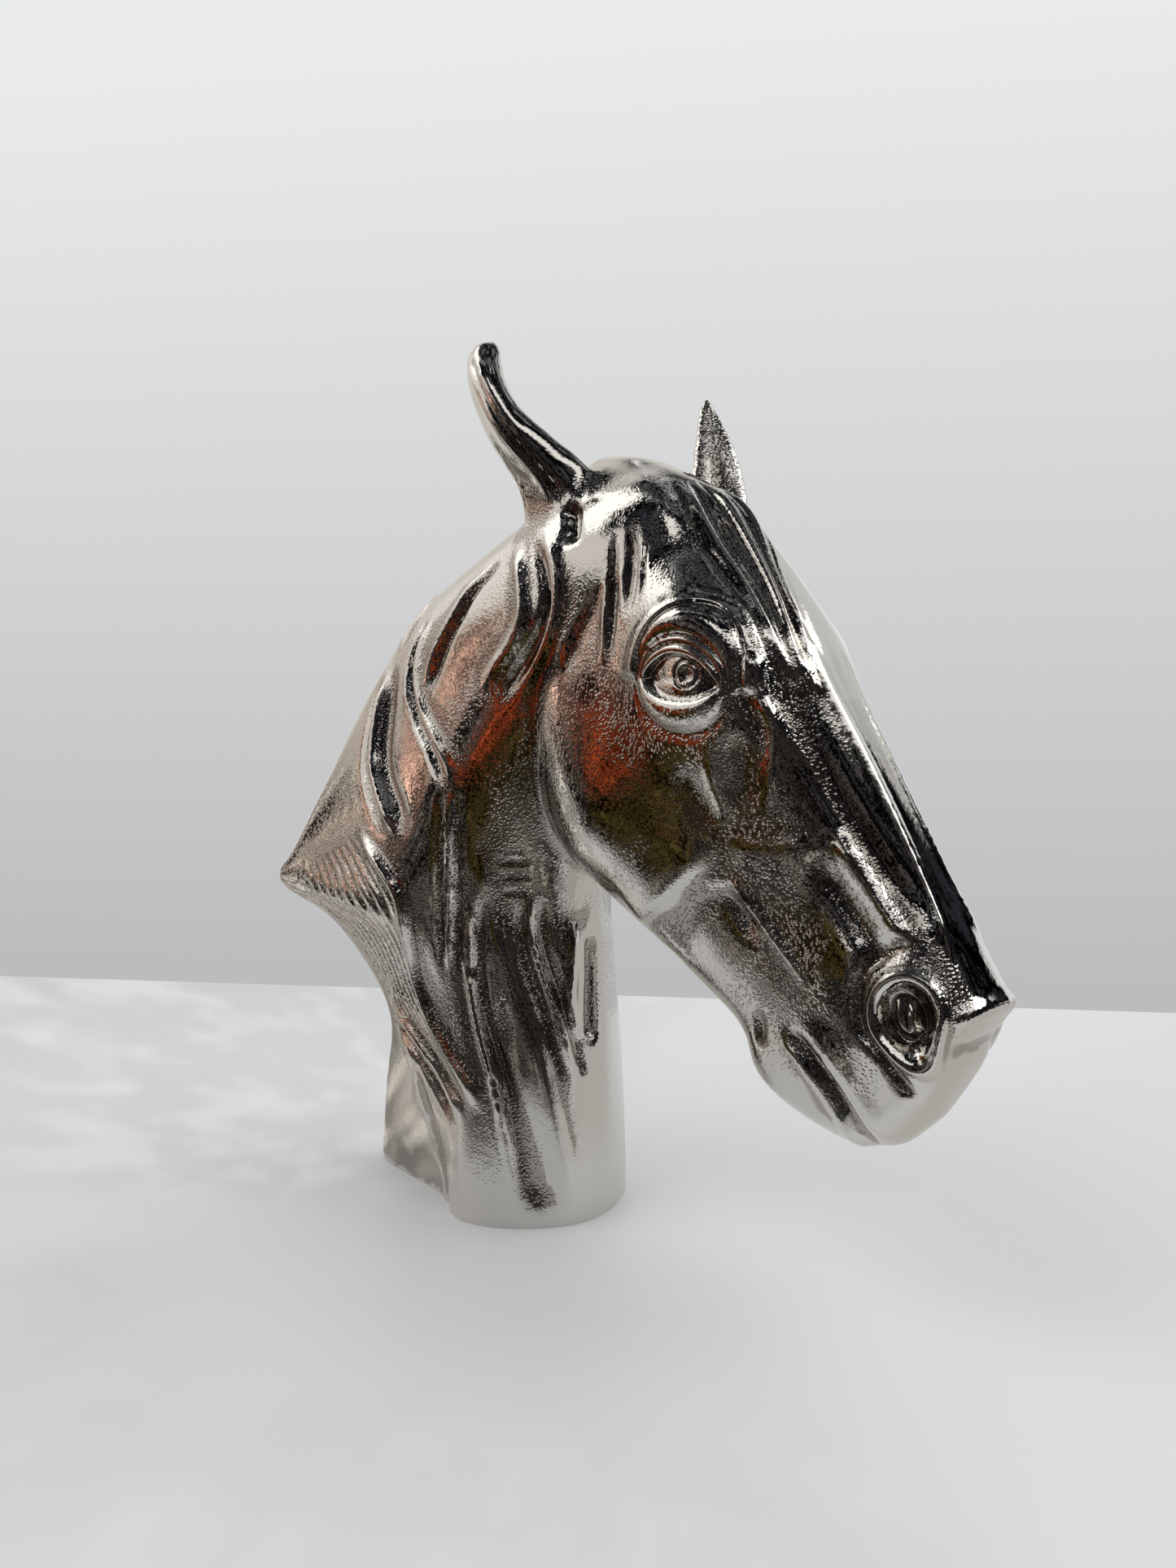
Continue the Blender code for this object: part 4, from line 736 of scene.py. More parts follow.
def eye(clay, soft):
    """Brow, lids, ball, ringed iris and drilled pupil; soft is the narrowest step of the mesh."""
    u, v = side_plane(clay, EYE_PLACE, EYE_SLOPE)
    half = EYE_SHARE / 2
    past_end = np.abs(u) - half
    lens = 1 - np.clip(np.abs(u) / half, 0.0, 1.0) ** 2.4
    past_rim = 0.9 * (v - 0.62 * half * lens)
    past_line = outside_ellipse(u, v, 1.02 * half, 0.86 * half)
    past_fold = outside_ellipse(u, v, 1.14 * half, 1.05 * half)
    past_arch = outside_ellipse(u - 0.006, v - 0.005, 1.32 * half, 1.66 * half)
    past_shelf = 0.9 * (-0.36 * half * lens - v)
    past_bag = outside_ellipse(u, v, 1.22 * half, 1.05 * half)
    fade = smoothstep(0.30 * half, -0.15 * half, past_end)
    # brow ridge, crisp on its lower side, then the full lid and the two thin rolls at the ball
    brow = 0.011 * bump(past_arch, np.where(past_arch > 0, 0.022, np.maximum(0.004, soft)))
    upper = brow * smoothstep(-0.035, 0.02, v) + soft_roll(past_fold, -past_arch, 0.30)
    upper += fade * (soft_roll(past_line, -past_fold, 0.42) + soft_roll(past_rim, -past_line, 0.34))
    upper -= 0.006 * smoothstep(soft, -soft, past_fold) * smoothstep(0.1 * half, -0.5 * half, past_end)
    # lower lid with its rounded face, and the groove under it
    lower = fade * soft_roll(past_shelf, -past_bag, 0.24, lean=0.7)
    lower -= fade * 0.005 * bump(past_bag, 0.012) * smoothstep(0.0, -0.02, v)
    share = smoothstep(-0.010, 0.010, v)
    lift = upper * share + lower * (1 - share)
    # ball, set back behind the lids, with a narrow bright slope along the lower one
    opening = np.minimum(smoothstep(soft, -soft, past_rim), smoothstep(0.001, -0.007, past_shelf))
    opening = np.minimum(opening, smoothstep(0.0, -3 * soft, past_end))
    ball = 0.011 * (1 - (np.hypot(u, v - 0.012) / half) ** 2) - 0.014
    iris = np.hypot(u - IRIS_PLACE[0], v - IRIS_PLACE[1])
    ball -= 0.0028 * bump(iris - IRIS_SHARE, np.maximum(0.0025, 0.7 * soft))
    ball -= 0.0055 * np.exp(-((iris / (0.55 * IRIS_SHARE)) ** 4))
    window = smoothstep(2.9 * half, 2.2 * half, np.hypot(u, v - 0.04))
    on_side = smoothstep(0.05, 0.09, np.abs(clay.abc[:, 2])) * clay.head
    clay.lift += (lift + opening * ball) * window * on_side * HEAD_LENGTH


def nostril(clay):
    """Teardrop opening with a raised rim, a lobe inside and the groove that rings the wing."""
    u, v = side_plane(clay, NOSTRIL_PLACE, NOSTRIL_SLOPE)
    narrow = 1.0 - 0.30 * smoothstep(0.0, 0.06, u)
    ring = np.hypot(u / np.where(u > 0, 0.054, 0.045), v / (0.037 * narrow))
    lift = 0.012 * bump(ring - 1.24, 0.22) - 0.034 * np.exp(-((ring / 0.92) ** 8))
    lift += 0.024 * np.exp(-(np.hypot((u + 0.004) / 0.034, (v + 0.006) / 0.020) ** 4))
    lift -= 0.006 * bump(v + 0.002 + 0.15 * u, 0.006) * np.exp(-(((u + 0.004) / 0.020) ** 4))
    lift -= 0.012 * bump(ring - 2.05, 0.28) * smoothstep(0.015, -0.02, v + 0.25 * u)
    on_side = smoothstep(0.02, 0.05, np.abs(clay.abc[:, 2])) * clay.head
    clay.lift += lift * on_side * HEAD_LENGTH


# Casting: one skin over head, neck and ears


def select_only(*obs):
    bpy.ops.object.select_all(action="DESELECT")
    for ob in obs:
        ob.select_set(True)
    bpy.context.view_layer.objects.active = obs[0]


def apply_modifiers(ob):
    select_only(ob)
    for modifier in list(ob.modifiers):
        bpy.ops.object.modifier_apply(modifier=modifier.name)


def fuse(obs, name, step):
    """Join the volumes and lay one closed skin over them, softened where they meet."""
    select_only(*obs)
    bpy.ops.object.join()
    ob = bpy.context.view_layer.objects.active
    ob.name = name
    skin = ob.modifiers.new("skin", "REMESH")
    skin.mode = "VOXEL"
    skin.voxel_size = step
    soften = ob.modifiers.new("soften", "SMOOTH")
    soften.factor = 0.5
    soften.iterations = 20
    apply_modifiers(ob)
    return ob


def subdivide_where(clay, chosen):
    """Split the faces whose corners are all chosen into four."""
    ob = clay.ob
    select_only(ob)
    bpy.ops.object.mode_set(mode="EDIT")
    bpy.ops.mesh.select_mode(type="FACE")
    bpy.ops.mesh.select_all(action="DESELECT")
    bpy.ops.object.mode_set(mode="OBJECT")
    faces = [all(chosen[index] for index in face.vertices) for face in ob.data.polygons]
    ob.data.polygons.foreach_set("select", faces)
    bpy.ops.object.mode_set(mode="EDIT")
    bpy.ops.mesh.subdivide(number_cuts=1)
    bpy.ops.object.mode_set(mode="OBJECT")


def refine(clay, inside):
    subdivide_where(clay, inside(clay))
    clay.read()
    clay.relax(0.8 * inside(clay), rounds=2)


def around(place, radius, sides=(1, -1)):
    """Test for the points around a place on the near side of the head (1) and the far one (-1)."""
    def inside(clay):
        close = np.hypot(*(clay.abc[:, :2] - place).T) < radius
        on_side = np.any([side * clay.abc[:, 2] > 0.03 for side in sides], axis=0)
        return close & on_side & (clay.head > 0.5)
    return inside


def mane_band(clay):
    """Test for the points on the band of fine strands, on both sides of the neck."""
    x, y, z = clay.co.T / DRAWN
    return (z > 56) & (z < 152) & (x < 4 - 0.55 * (z - 100)) & (x > -100) & (z < 150 + 0.4 * (x + 50))


def in_boxes(clay, boxes):
    """Test for the points of the head that lie in any of the boxes."""
    inside = [np.all((clay.abc > low) & (clay.abc < high), axis=1) for low, high in boxes]
    return (clay.head > 0.5) & np.any(inside, axis=0)


def hair_band(clay):
    """Test for the points under the forelock and the strands of the temple, on the near side."""
    return in_boxes(clay, HAIR_BOXES)


def fine_hair(clay):
    """Thin creases between the locks of the forelock and down the temple."""
    near, far, last = (np.array(lock[:6]) for lock in FORELOCK)
    for start, end, shares in ((near, far, (0.30, 0.72)), (far, last, (0.25, 0.50, 0.75, 1.30, 1.65))):
        for share in shares:
            crease = start + (end - start) * share
            carve_head(clay, crease, -0.0036, 0.0036, ends=(0.15, 0.25), both=False)
    for drop in TEMPLE_CREASES:
        carve_head(clay, shifted(TEMPLE_STRAND, drop), -0.0045, 0.0034, ends=(0.2, 0.35), both=False)


def surface_tree(ob):
    mesh = ob.data
    places = [vert.co[:] for vert in mesh.vertices]
    return BVHTree.FromPolygons(places, [face.vertices[:] for face in mesh.polygons])


def carve(ob, head_tree, neck_tree):
    """Carve the fused skin, from the broad forms to the eyes, on a mesh that gets finer with them."""
    clay = Clay(ob, head_tree, neck_tree)
    where_they_meet = bump(np.maximum(clay.to_head, clay.to_neck), 6 * DRAWN)
    clay.relax(where_they_meet, rounds=60)
    clay.relax(0.8 * ear_skin(clay, 4, 8), rounds=8)
    cheek_crease(clay)
    clay.press(rounds=12)
    clay.relax(0.5 * where_they_meet, rounds=12)
    refine(clay, mane_band)
    for form in (nose, cheek, mouth, forelock, temple, mane, neck_muscles, near_ear_slit):
        form(clay)
    clay.press(rounds=2)
    refine(clay, hair_band)
    fine_hair(clay)
    clay.press(rounds=1)
    refine(clay, around(EYE_PLACE, EYE_REACH))
    refine(clay, around(EYE_PLACE, NEAR_EYE_REACH, sides=(1,)))
    refine(clay, around(NOSTRIL_PLACE, NOSTRIL_REACH))
    eye(clay, EYE_STEP)
    nostril(clay)
    clay.press(rounds=1)
    thin_plain_skin(clay)


def polished(clay):
    """Test for the points on the ears, the forehead, the bridge of the nose, the eyes and the muzzle."""
    return (np.minimum(clay.to_head, clay.to_neck) > 5 * DRAWN) | in_boxes(clay, POLISHED_BOXES)


def thin_plain_skin(clay):
    """Leave fewer faces where the skin is plain, so that the polished places keep theirs."""
    ob = clay.ob
    group = ob.vertex_groups.new(name="plain")
    group.add([int(index) for index in np.nonzero(~polished(clay))[0]], 1.0, "REPLACE")
    thin = ob.modifiers.new("thin", "DECIMATE")
    thin.vertex_group = group.name
    thin.ratio = min(1.0, SKIN_TRIANGLES / sum(len(face.vertices) - 2 for face in ob.data.polygons))
    apply_modifiers(ob)
    ob.vertex_groups.clear()


def cut_underside(ob):
    """Cut the stand off flat and close the cut."""
    select_only(ob)
    bpy.ops.object.mode_set(mode="EDIT")
    bpy.ops.mesh.select_all(action="SELECT")
    bpy.ops.mesh.bisect(
        plane_co=(0, 0, 0), plane_no=(0, 0, 1), use_fill=True, clear_inner=True, threshold=CUT_PRECISION
    )
    bpy.ops.mesh.select_all(action="SELECT")
    bpy.ops.mesh.normals_make_consistent(inside=False)
    bpy.ops.object.mode_set(mode="OBJECT")
    bpy.ops.object.shade_smooth_by_angle(angle=math.radians(SHARPEST_SMOOTH))


def write_points(mesh, name, kind, slot, values):
    """Keep a value or a colour at each point of the mesh."""
    layer = mesh.attributes.new(name, kind, "POINT")
    layer.data.foreach_set(slot, np.array(values, dtype=np.float32).ravel())


def write_surface_marks(ob, head_tree, neck_tree):
    """Keep, at each point, how far it stands out, with painted shade added in the drilled pupil and the iris
    ring, how grainy it is and how near the foot it is.
    """
    clay = Clay(ob, head_tree, neck_tree)
    smooth = clay.co.copy()
    for _ in range(8):
        smooth = np.stack([clay.neighbours(smooth[:, k]) for k in range(3)], axis=1)
    relief_and_pupil_shade = np.einsum("ij,ij->i", clay.co - smooth, clay.no) / (0.10 * DRAWN)
    a, b, c = clay.abc.T
    # painted shade: the drilled pupil and the ring of the iris are pushed down to the darker tone of the
    # hollows so that they read dark
    u, v = side_plane(clay, EYE_PLACE, EYE_SLOPE)
    iris = np.hypot(u - IRIS_PLACE[0], v - IRIS_PLACE[1]) / IRIS_SHARE
    drilled = np.maximum(smoothstep(0.62, 0.42, iris), bump(iris - 1.0, 0.12))
    relief_and_pupil_shade -= 1.6 * drilled * clay.head * (np.abs(c) > 0.05)
    side = smoothstep(0.045, 0.075, np.abs(c))
    cheek_skin = clay.head * side * smoothstep(0.10, 0.22, a) * smoothstep(1.02, 0.95, a)
    brow = bump(np.hypot(a - 0.27, b + 0.09), 0.13)
    grain = np.maximum(cheek_skin * (1 - 0.85 * brow), (1 - clay.head) * 0.85)
    grain *= 1 - 0.7 * smoothstep(0.25, 1.0, relief_and_pupil_shade)
    u, v = side_plane(clay, NOSTRIL_PLACE, NOSTRIL_SLOPE)
    grain *= 1 - 0.8 * smoothstep(1.5, 1.0, np.hypot(u / 0.054, v / 0.037)) * clay.head
    ears = ear_skin(clay, 5, 9)
    grain *= 1 - 0.9 * ears * smoothstep(-0.02, 0.02, c)
    grain = np.maximum(grain, 0.7 * ears * smoothstep(0.02, -0.02, c))
    foot = smoothstep(85 * DRAWN, 35 * DRAWN, clay.co[:, 2])
    grain *= 1 - 0.35 * foot
    marks = {"relief_and_pupil_shade": np.clip(relief_and_pupil_shade, -1, 1), "grain": np.clip(grain, 0, 1), "foot": foot}
    for name, values in marks.items():
        write_points(ob.data, name, "FLOAT", "value", values)


# Nickel skin


# How many grains, patches or waves the noises have to a metre
PATCH_SCALE = 28.0
PIMPLE_SCALE = 850.0
PORE_SCALE = 1400.0
SWELL_SCALE = 150.0
SWELL_DEPTH = 0.0006
SPECK_SCALE = 900.0
SMEAR_SCALE = 60.0
# Most roughness that the smears, the grain and the worn foot add to the polish
SMEAR_ROUGH = 0.035
GRAIN_ROUGH = 0.03
FOOT_ROUGH = 0.16


def feed(tree, socket, value):
    """Link a socket to another one, or set it to a constant."""
    if isinstance(value, bpy.types.NodeSocket):
        tree.links.new(value, socket)
    else:
        socket.default_value = value


def add(tree, kind, **sockets):
    """Node with its sockets set or linked, each under its name with spaces as underscores."""
    node = tree.nodes.new(kind)
    for name, value in sockets.items():
        feed(tree, node.inputs[name.replace("_", " ")], value)
    return node


def attribute(tree, name):
    node = tree.nodes.new("ShaderNodeAttribute")
    node.attribute_name = name
    return node


def combine(tree, kind, operation, *values):
    """Result of a node that works on values by their order."""
    node = tree.nodes.new(kind)
    node.operation = operation
    for socket, value in zip(node.inputs, values):
        feed(tree, socket, value)
    return node.outputs[0]


def blend(tree, kind, factor, first, second):
    """Mix of two values or colours, each a socket or a constant."""
    node = tree.nodes.new("ShaderNodeMix")
    node.data_type = kind
    *used, result = {"FLOAT": (0, 2, 3, 0), "RGBA": (0, 6, 7, 2)}[kind]
    for index, value in zip(used, (factor, first, second)):
        feed(tree, node.inputs[index], value)
    return node.outputs[result]


def ranged(tree, value, low, high, start=0.0, end=1.0):
    """The value stretched from one range to another and held at its ends."""
    sockets = {"From_Min": low, "From_Max": high, "To_Min": start, "To_Max": end}
    return add(tree, "ShaderNodeMapRange", Value=value, **sockets).outputs[0]


def nickel_skin(settings):
    material = bpy.data.materials.new("nickel_skin")
    material.use_nodes = True
    tree = material.node_tree
    shader = tree.nodes["Principled BSDF"]
    shader.inputs["Metallic"].default_value = 1.0
    place = tree.nodes.new("ShaderNodeTexCoord").outputs["Object"]
    relief_and_pupil_shade, grainy, foot = (attribute(tree, name).outputs["Fac"] for name in ("relief_and_pupil_shade", "grain", "foot"))

    def noise(scale, detail, roughness=0.5):
        node = add(tree, "ShaderNodeTexNoise", Vector=place, Scale=scale, Detail=detail, Roughness=roughness)
        return node.outputs["Fac"]

    def plus(first, second):
        return combine(tree, "ShaderNodeMath", "ADD", first, second)

    def times(first, second):
        return combine(tree, "ShaderNodeMath", "MULTIPLY", first, second)

    # the cast grain comes and goes in patches
    grain = times(grainy, ranged(tree, noise(PATCH_SCALE, 3.0), 0.38, 0.62, 0.35, 1.0))
    pimples = add(tree, "ShaderNodeTexVoronoi", Vector=place, Scale=PIMPLE_SCALE)
    pores = ranged(tree, pimples.outputs["Distance"], 0.10, 0.52, 1.0, 0.0)
    pores = plus(pores, times(noise(PORE_SCALE, 2.0), 0.5))
    fine = add(tree, "ShaderNodeBump", Distance=settings.grain_depth, Height=times(pores, grain))
    swell = add(
        tree, "ShaderNodeBump", Strength=0.25, Distance=SWELL_DEPTH,
        Height=noise(SWELL_SCALE, 3.0, 0.6), Normal=fine.outputs["Normal"],
    )
    feed(tree, shader.inputs["Normal"], swell.outputs["Normal"])

    # lighter on what stands out and darker in the hollows; in the drilled pupil and the ring of the iris that
    # darkening is painted shade
    clean, dull = (*settings.nickel, 1.0), (*settings.hollow, 1.0)
    hollow = ranged(tree, relief_and_pupil_shade, -0.6, 0.1, 1.0, 0.0)
    tone = blend(tree, "RGBA", times(hollow, 0.7), clean, dull)
    speck = ranged(tree, noise(SPECK_SCALE, 1.0), 0.66, 0.72)
    tone = blend(tree, "RGBA", times(speck, times(grain, 0.5)), tone, dull)
    feed(tree, shader.inputs["Base Color"], tone)
    smear = ranged(tree, noise(SMEAR_SCALE, 4.0, 0.65), 0.35, 0.7, 0.0, SMEAR_ROUGH)
    rough = plus(times(grain, GRAIN_ROUGH), times(foot, FOOT_ROUGH))
    rough = plus(plus(rough, smear), settings.polish)
    feed(tree, shader.inputs["Roughness"], rough)
    return material


# Studio


# Where the middle of the head and the round cheek are
MIDDLE = Vector((0.05, -0.03, 0.17))
CHEEK = Vector((0.085, -0.085, 0.175))
# Middle of the table's far edge, its turn in degrees, its size and roughness, then how far behind that
# edge the wall stands, the height of its middle and its size
TABLE_EDGE = (-0.081, 0.336, 0.0)
TABLE_TURN = 12.0
TABLE_SIZE = (4.0, 2.4)
TABLE_ROUGHNESS = 0.45
WALL_GAP = 1.0
WALL_CENTRE_HEIGHT = 0.8
WALL_SIZE = (6.0, 4.0)
# Heights between which the wall's painted light grows from its darker foot to its top, and how much of that
# light it has at the lower one
WALL_LIGHT_FADE = (-0.20, 1.23)
WALL_FOOT_SHADE_SHARE = 0.605
# Soft lights: azimuth, elevation, distance, width, height and power
KEY_LIGHT = (100, 45, 1.3, 1.2, 0.8, 5.0)
FILL_LIGHT = (-50, 50, 1.3, 1.0, 0.8, 4.0)
WORLD_LIGHT = (0.55, 0.56, 0.58, 1.0)
# Place of the camera, how far it looks to the left of +Y and down, in degrees, then its sensor, how
# far the lens is from the picture and how high the picture is, both in pixels of the photograph, and
# the nearest that it sees
CAMERA_PLACE = (0.20736, -0.45481, 0.191)
CAMERA_TURN = 20.0
CAMERA_DIP = 3.0
SENSOR_WIDTH = 36.0
LENS_PIXELS = 1500
PICTURE_HEIGHT = 1927
NEAREST = 0.01
# The room that the mirror-bright metal reflects, seen from the middle of the head: azimuth 0 is -Y
# and 90 is +X. Each patch holds its azimuths, its elevations, how soft its edges are and its colour
ROOM = (
    ((-200, 200), (-30, 100), 10, (0.30, 0.29, 0.28)),
    ((132, 200), (-30, 48), 8, (0.85, 0.86, 0.87)),
    ((-200, -112), (-30, 48), 8, (0.74, 0.73, 0.71)),
    ((-150, -92), (6, 60), 8, (0.72, 0.69, 0.64)),
    ((-84, 90), (-30, 36), 6, (0.017, 0.014, 0.013)),
    ((-116, -78), (-12, 9), 6, (0.20, 0.175, 0.150)),
    ((-122, -56), (9, 34), 6, (0.60, 0.52, 0.45)),
    ((-86, -56), (0, 20), 5, (0.42, 0.26, 0.20)),
    ((-64, -26), (-14, 6), 6, (0.070, 0.060, 0.053)),
    ((-38, -12), (19, 36), 5, (0.12, 0.11, 0.105)),
    ((-122, -58), (21, 38), 4, (0.95, 0.91, 0.86)),
    ((-66, -35), (10, 36), 4, (0.80, 0.76, 0.72)),
    ((-46, 100), (33, 62), 4, (0.014, 0.015, 0.018)),
    ((-18, 34), (14, 62), 5, (0.016, 0.015, 0.017)),
    ((2, 92), (37, 48), 3, (1.10, 1.08, 1.04)),
    ((98, 200), (50, 68), 5, (0.13, 0.135, 0.14)),
    ((-200, 200), (64, 100), 4, (0.032, 0.034, 0.037)),
    ((-112, -50), (34, 62), 2, (1.60, 1.57, 1.52)),
    ((36, 122), (-3, 13), 4, (0.014, 0.012, 0.012)),
    ((70, 142), (8, 23), 2, (0.008, 0.008, 0.010)),
    ((70, 126), (20, 30), 2, (0.008, 0.008, 0.010)),
    ((122, 166), (22, 50), 3, (0.72, 0.73, 0.72)),
    ((86, 142), (-30, -3), 3, (0.60, 0.59, 0.57)),
    ((78, 126), (29, 47), 1.5, (2.6, 2.57, 2.5)),
)
# What the round cheek alone reflects, seen from it
WARM_CARD = (
    ((-80, -44), (-13, 13), 5, (0.135, 0.024, 0.008)),
    ((-86, -24), (-40, -12), 5, (0.026, 0.019, 0.006)),
)
# Each sheet of light: its azimuths and its elevations, as from, to and how many
ROOM_SWEEP = ((-180, 180, 181), (-10, 90, 67))
TABLE_SWEEP = ((-180, 166, 174), (-76, -9.5, 34))
CARD_SWEEP = ((-104, -14, 46), (-46, 20, 34))
# How far the room's dome is from the middle and the warm card from the cheek, and how high the
# table's sheet lies over it
ROOM_REACH = 1.0
CARD_REACH = 0.12
SHADE_LIFT = 0.002
# Mean colours between which a sheet goes from even to blotchy
EVEN_TONE = 0.50
BLOTCHY_TONE = 0.20
# Fineness of the things in the dim parts of the room, then which levels of their noise count as dark
# and as light, and how much light each of the two leaves
BLOTCH_SCALE = 9.0
BLOTCH_RANGE = (0.47, 0.62, 0.10, 4.2)
# What the table shows to the metal, darker towards the camera
TABLE_SHADE = (
    ((-82, 60), (-30, 0), 9, (0.018, 0.0155, 0.014)),
    ((-64, -14), (-48, -22), 7, (0.060, 0.053, 0.046)),
    ((-16, 46), (-50, -24), 8, (0.130, 0.118, 0.102)),
    ((66, 150), (-60, 0), 12, (0.56, 0.55, 0.53)),
    ((-165, -82), (-60, 0), 10, (0.40, 0.375, 0.340)),
)


def plain(name, colour, roughness):
    material = bpy.data.materials.new(name)
    material.use_nodes = True
    shader = material.node_tree.nodes["Principled BSDF"]
    shader.inputs["Base Color"].default_value = (*colour, 1.0)
    shader.inputs["Roughness"].default_value = roughness
    return material


def bare_material(name):
    """Material with no nodes yet, and its node tree."""
    material = bpy.data.materials.new(name)
    material.use_nodes = True
    material.node_tree.nodes.clear()
    return material, material.node_tree


def towards(azimuth, elevation, distance, start=MIDDLE):
    """Place seen from the middle of the head, or another one."""
    turn, lift = math.radians(azimuth), math.radians(elevation)
    flat = math.cos(lift)
    return start + distance * Vector((math.sin(turn) * flat, -math.cos(turn) * flat, math.sin(lift)))


def painted(patches, azimuth, elevation):
    """Colour of soft-edged patches laid over each other, and how far they cover."""
    colour, cover = np.zeros(3), 0.0
    for azimuths, elevations, soft, patch in patches:
        inside = 1.0
        for value, (low, high) in ((azimuth, azimuths), (elevation, elevations)):
            inside *= smoothstep(low - soft, low + soft, value) * smoothstep(high + soft, high - soft, value)
        cover += inside * (1 - cover)
        colour += (inside / max(cover, 1e-6)) * (np.array(patch) - colour)
    return colour, cover


def glow_sheet(name, patches, sweep, reach, start=MIDDLE):
    """Sheet of light that only reflections see; reach tells how far it is at an elevation."""
    azimuths, elevations = (np.linspace(*span) for span in sweep)
    bm = bmesh.new()
    rows, colours = [], []
    for elevation in elevations:
        distance = reach(elevation)
        rows.append([bm.verts.new(towards(azimuth, elevation, distance, start)) for azimuth in azimuths])
        colours += [painted(patches, azimuth, elevation) for azimuth in azimuths]
    for lower, upper in zip(rows, rows[1:]):
        for c in range(len(lower) - 1):
            bm.faces.new((lower[c], lower[c + 1], upper[c + 1], upper[c]))
    mesh = bpy.data.meshes.new(name)
    bm.to_mesh(mesh)
    bm.free()
    blotchy = [smoothstep(EVEN_TONE, BLOTCHY_TONE, float(np.mean(colour))) for colour, cover in colours]
    write_points(mesh, "glow", "FLOAT_COLOR", "color", [(*colour, cover) for colour, cover in colours])
    write_points(mesh, "blotchy", "FLOAT", "value", blotchy)
    mesh.materials.append(glow(name))
    ob = bpy.data.objects.new(name, mesh)
    bpy.context.collection.objects.link(ob)
    ob.visible_camera = False
    ob.visible_diffuse = False
    ob.visible_shadow = False
    ob.visible_transmission = False


def glow(name):
    """Light in the sheet's point colours, broken up into lighter and darker things where it is dim."""
    material, tree = bare_material(name)
    colour, blotchy = attribute(tree, "glow"), attribute(tree, "blotchy")
    place = tree.nodes.new("ShaderNodeTexCoord").outputs["Object"]
    sight = combine(tree, "ShaderNodeVectorMath", "SUBTRACT", place, MIDDLE)
    direction = combine(tree, "ShaderNodeVectorMath", "NORMALIZE", sight)
    things = add(tree, "ShaderNodeTexNoise", Vector=direction, Scale=BLOTCH_SCALE, Detail=2.0, Roughness=0.6)
    lit = ranged(tree, things.outputs["Fac"], *BLOTCH_RANGE)
    strength = blend(tree, "FLOAT", blotchy.outputs["Fac"], 1.0, lit)
    light = add(tree, "ShaderNodeEmission", Color=colour.outputs["Color"], Strength=strength)
    clear = tree.nodes.new("ShaderNodeBsdfTransparent")
    cover = tree.nodes.new("ShaderNodeMixShader")
    for socket, value in zip(cover.inputs, (colour.outputs["Alpha"], clear.outputs[0], light.outputs[0])):
        feed(tree, socket, value)
    add(tree, "ShaderNodeOutputMaterial", Surface=cover.outputs[0])
    return material


def down_to_table(elevation):
    return (MIDDLE.z - SHADE_LIFT) / math.sin(math.radians(-elevation))


def reflected_room():
    """Dome with the room's patches, the shades of the table and the warm card by the cheek."""
    glow_sheet("room", ROOM, ROOM_SWEEP, lambda elevation: ROOM_REACH)
    glow_sheet("table_shade", TABLE_SHADE, TABLE_SWEEP, down_to_table)
    glow_sheet("warm_card", WARM_CARD, CARD_SWEEP, lambda elevation: CARD_REACH, CHEEK)


def soft_light(name, azimuth, elevation, distance, width, height, power):
    """Rectangular light aimed at the middle of the head, which the metal doesn't reflect."""
    place = towards(azimuth, elevation, distance)
    bpy.ops.object.light_add(type="AREA", location=place)
    ob = bpy.context.object
    ob.name = name
    ob.rotation_euler = (MIDDLE - place).to_track_quat("-Z", "Y").to_euler()
    ob.data.shape = "RECTANGLE"
    ob.data.size = width
    ob.data.size_y = height
    ob.data.energy = power
    ob.visible_camera = False
    ob.visible_glossy = False


def table_and_wall(settings):
    """Table whose far edge shows behind the head, and a wall well behind it."""
    table = flat_panel("table_top", (0, -TABLE_SIZE[1] / 2, 0), 0.0, TABLE_SIZE)
    table.data.materials.append(plain("table_white", settings.table, TABLE_ROUGHNESS))
    wall = flat_panel("back_wall", (0, WALL_GAP, WALL_CENTRE_HEIGHT), math.pi / 2, WALL_SIZE)
    wall.data.materials.append(wall_glow(settings))
    wall.visible_glossy = False


def flat_panel(name, place, lean, sizes):
    """Flat panel placed from the middle of the table's far edge."""
    bpy.ops.mesh.primitive_plane_add(size=1, location=(0, 0, 0))
    panel = bpy.context.object
    panel.name = name
    shape = Matrix.Translation(TABLE_EDGE) @ Matrix.Rotation(math.radians(TABLE_TURN), 4, "Z")
    shape = shape @ Matrix.Translation(place) @ Matrix.Rotation(lean, 4, "X")
    panel.data.transform(shape @ Matrix.Diagonal((*sizes, 1.0, 1.0)))
    return panel


def wall_glow(settings):
    """Wall that glows with painted light instead of being lit: darker towards its foot as painted shade,
    lighter towards its top.
    """
    material, tree = bare_material("wall_painted_light")
    place = tree.nodes.new("ShaderNodeTexCoord").outputs["Object"]
    split = add(tree, "ShaderNodeSeparateXYZ", Vector=place)
    # painted shade: the foot of the wall glows darker than its top
    foot = (*(WALL_FOOT_SHADE_SHARE * value for value in settings.wall), 1.0)
    height = ranged(tree, split.outputs["Z"], *WALL_LIGHT_FADE)
    colour = blend(tree, "RGBA", height, foot, (*settings.wall, 1.0))
    light = add(tree, "ShaderNodeEmission", Color=colour)
    add(tree, "ShaderNodeOutputMaterial", Surface=light.outputs[0])
    return material


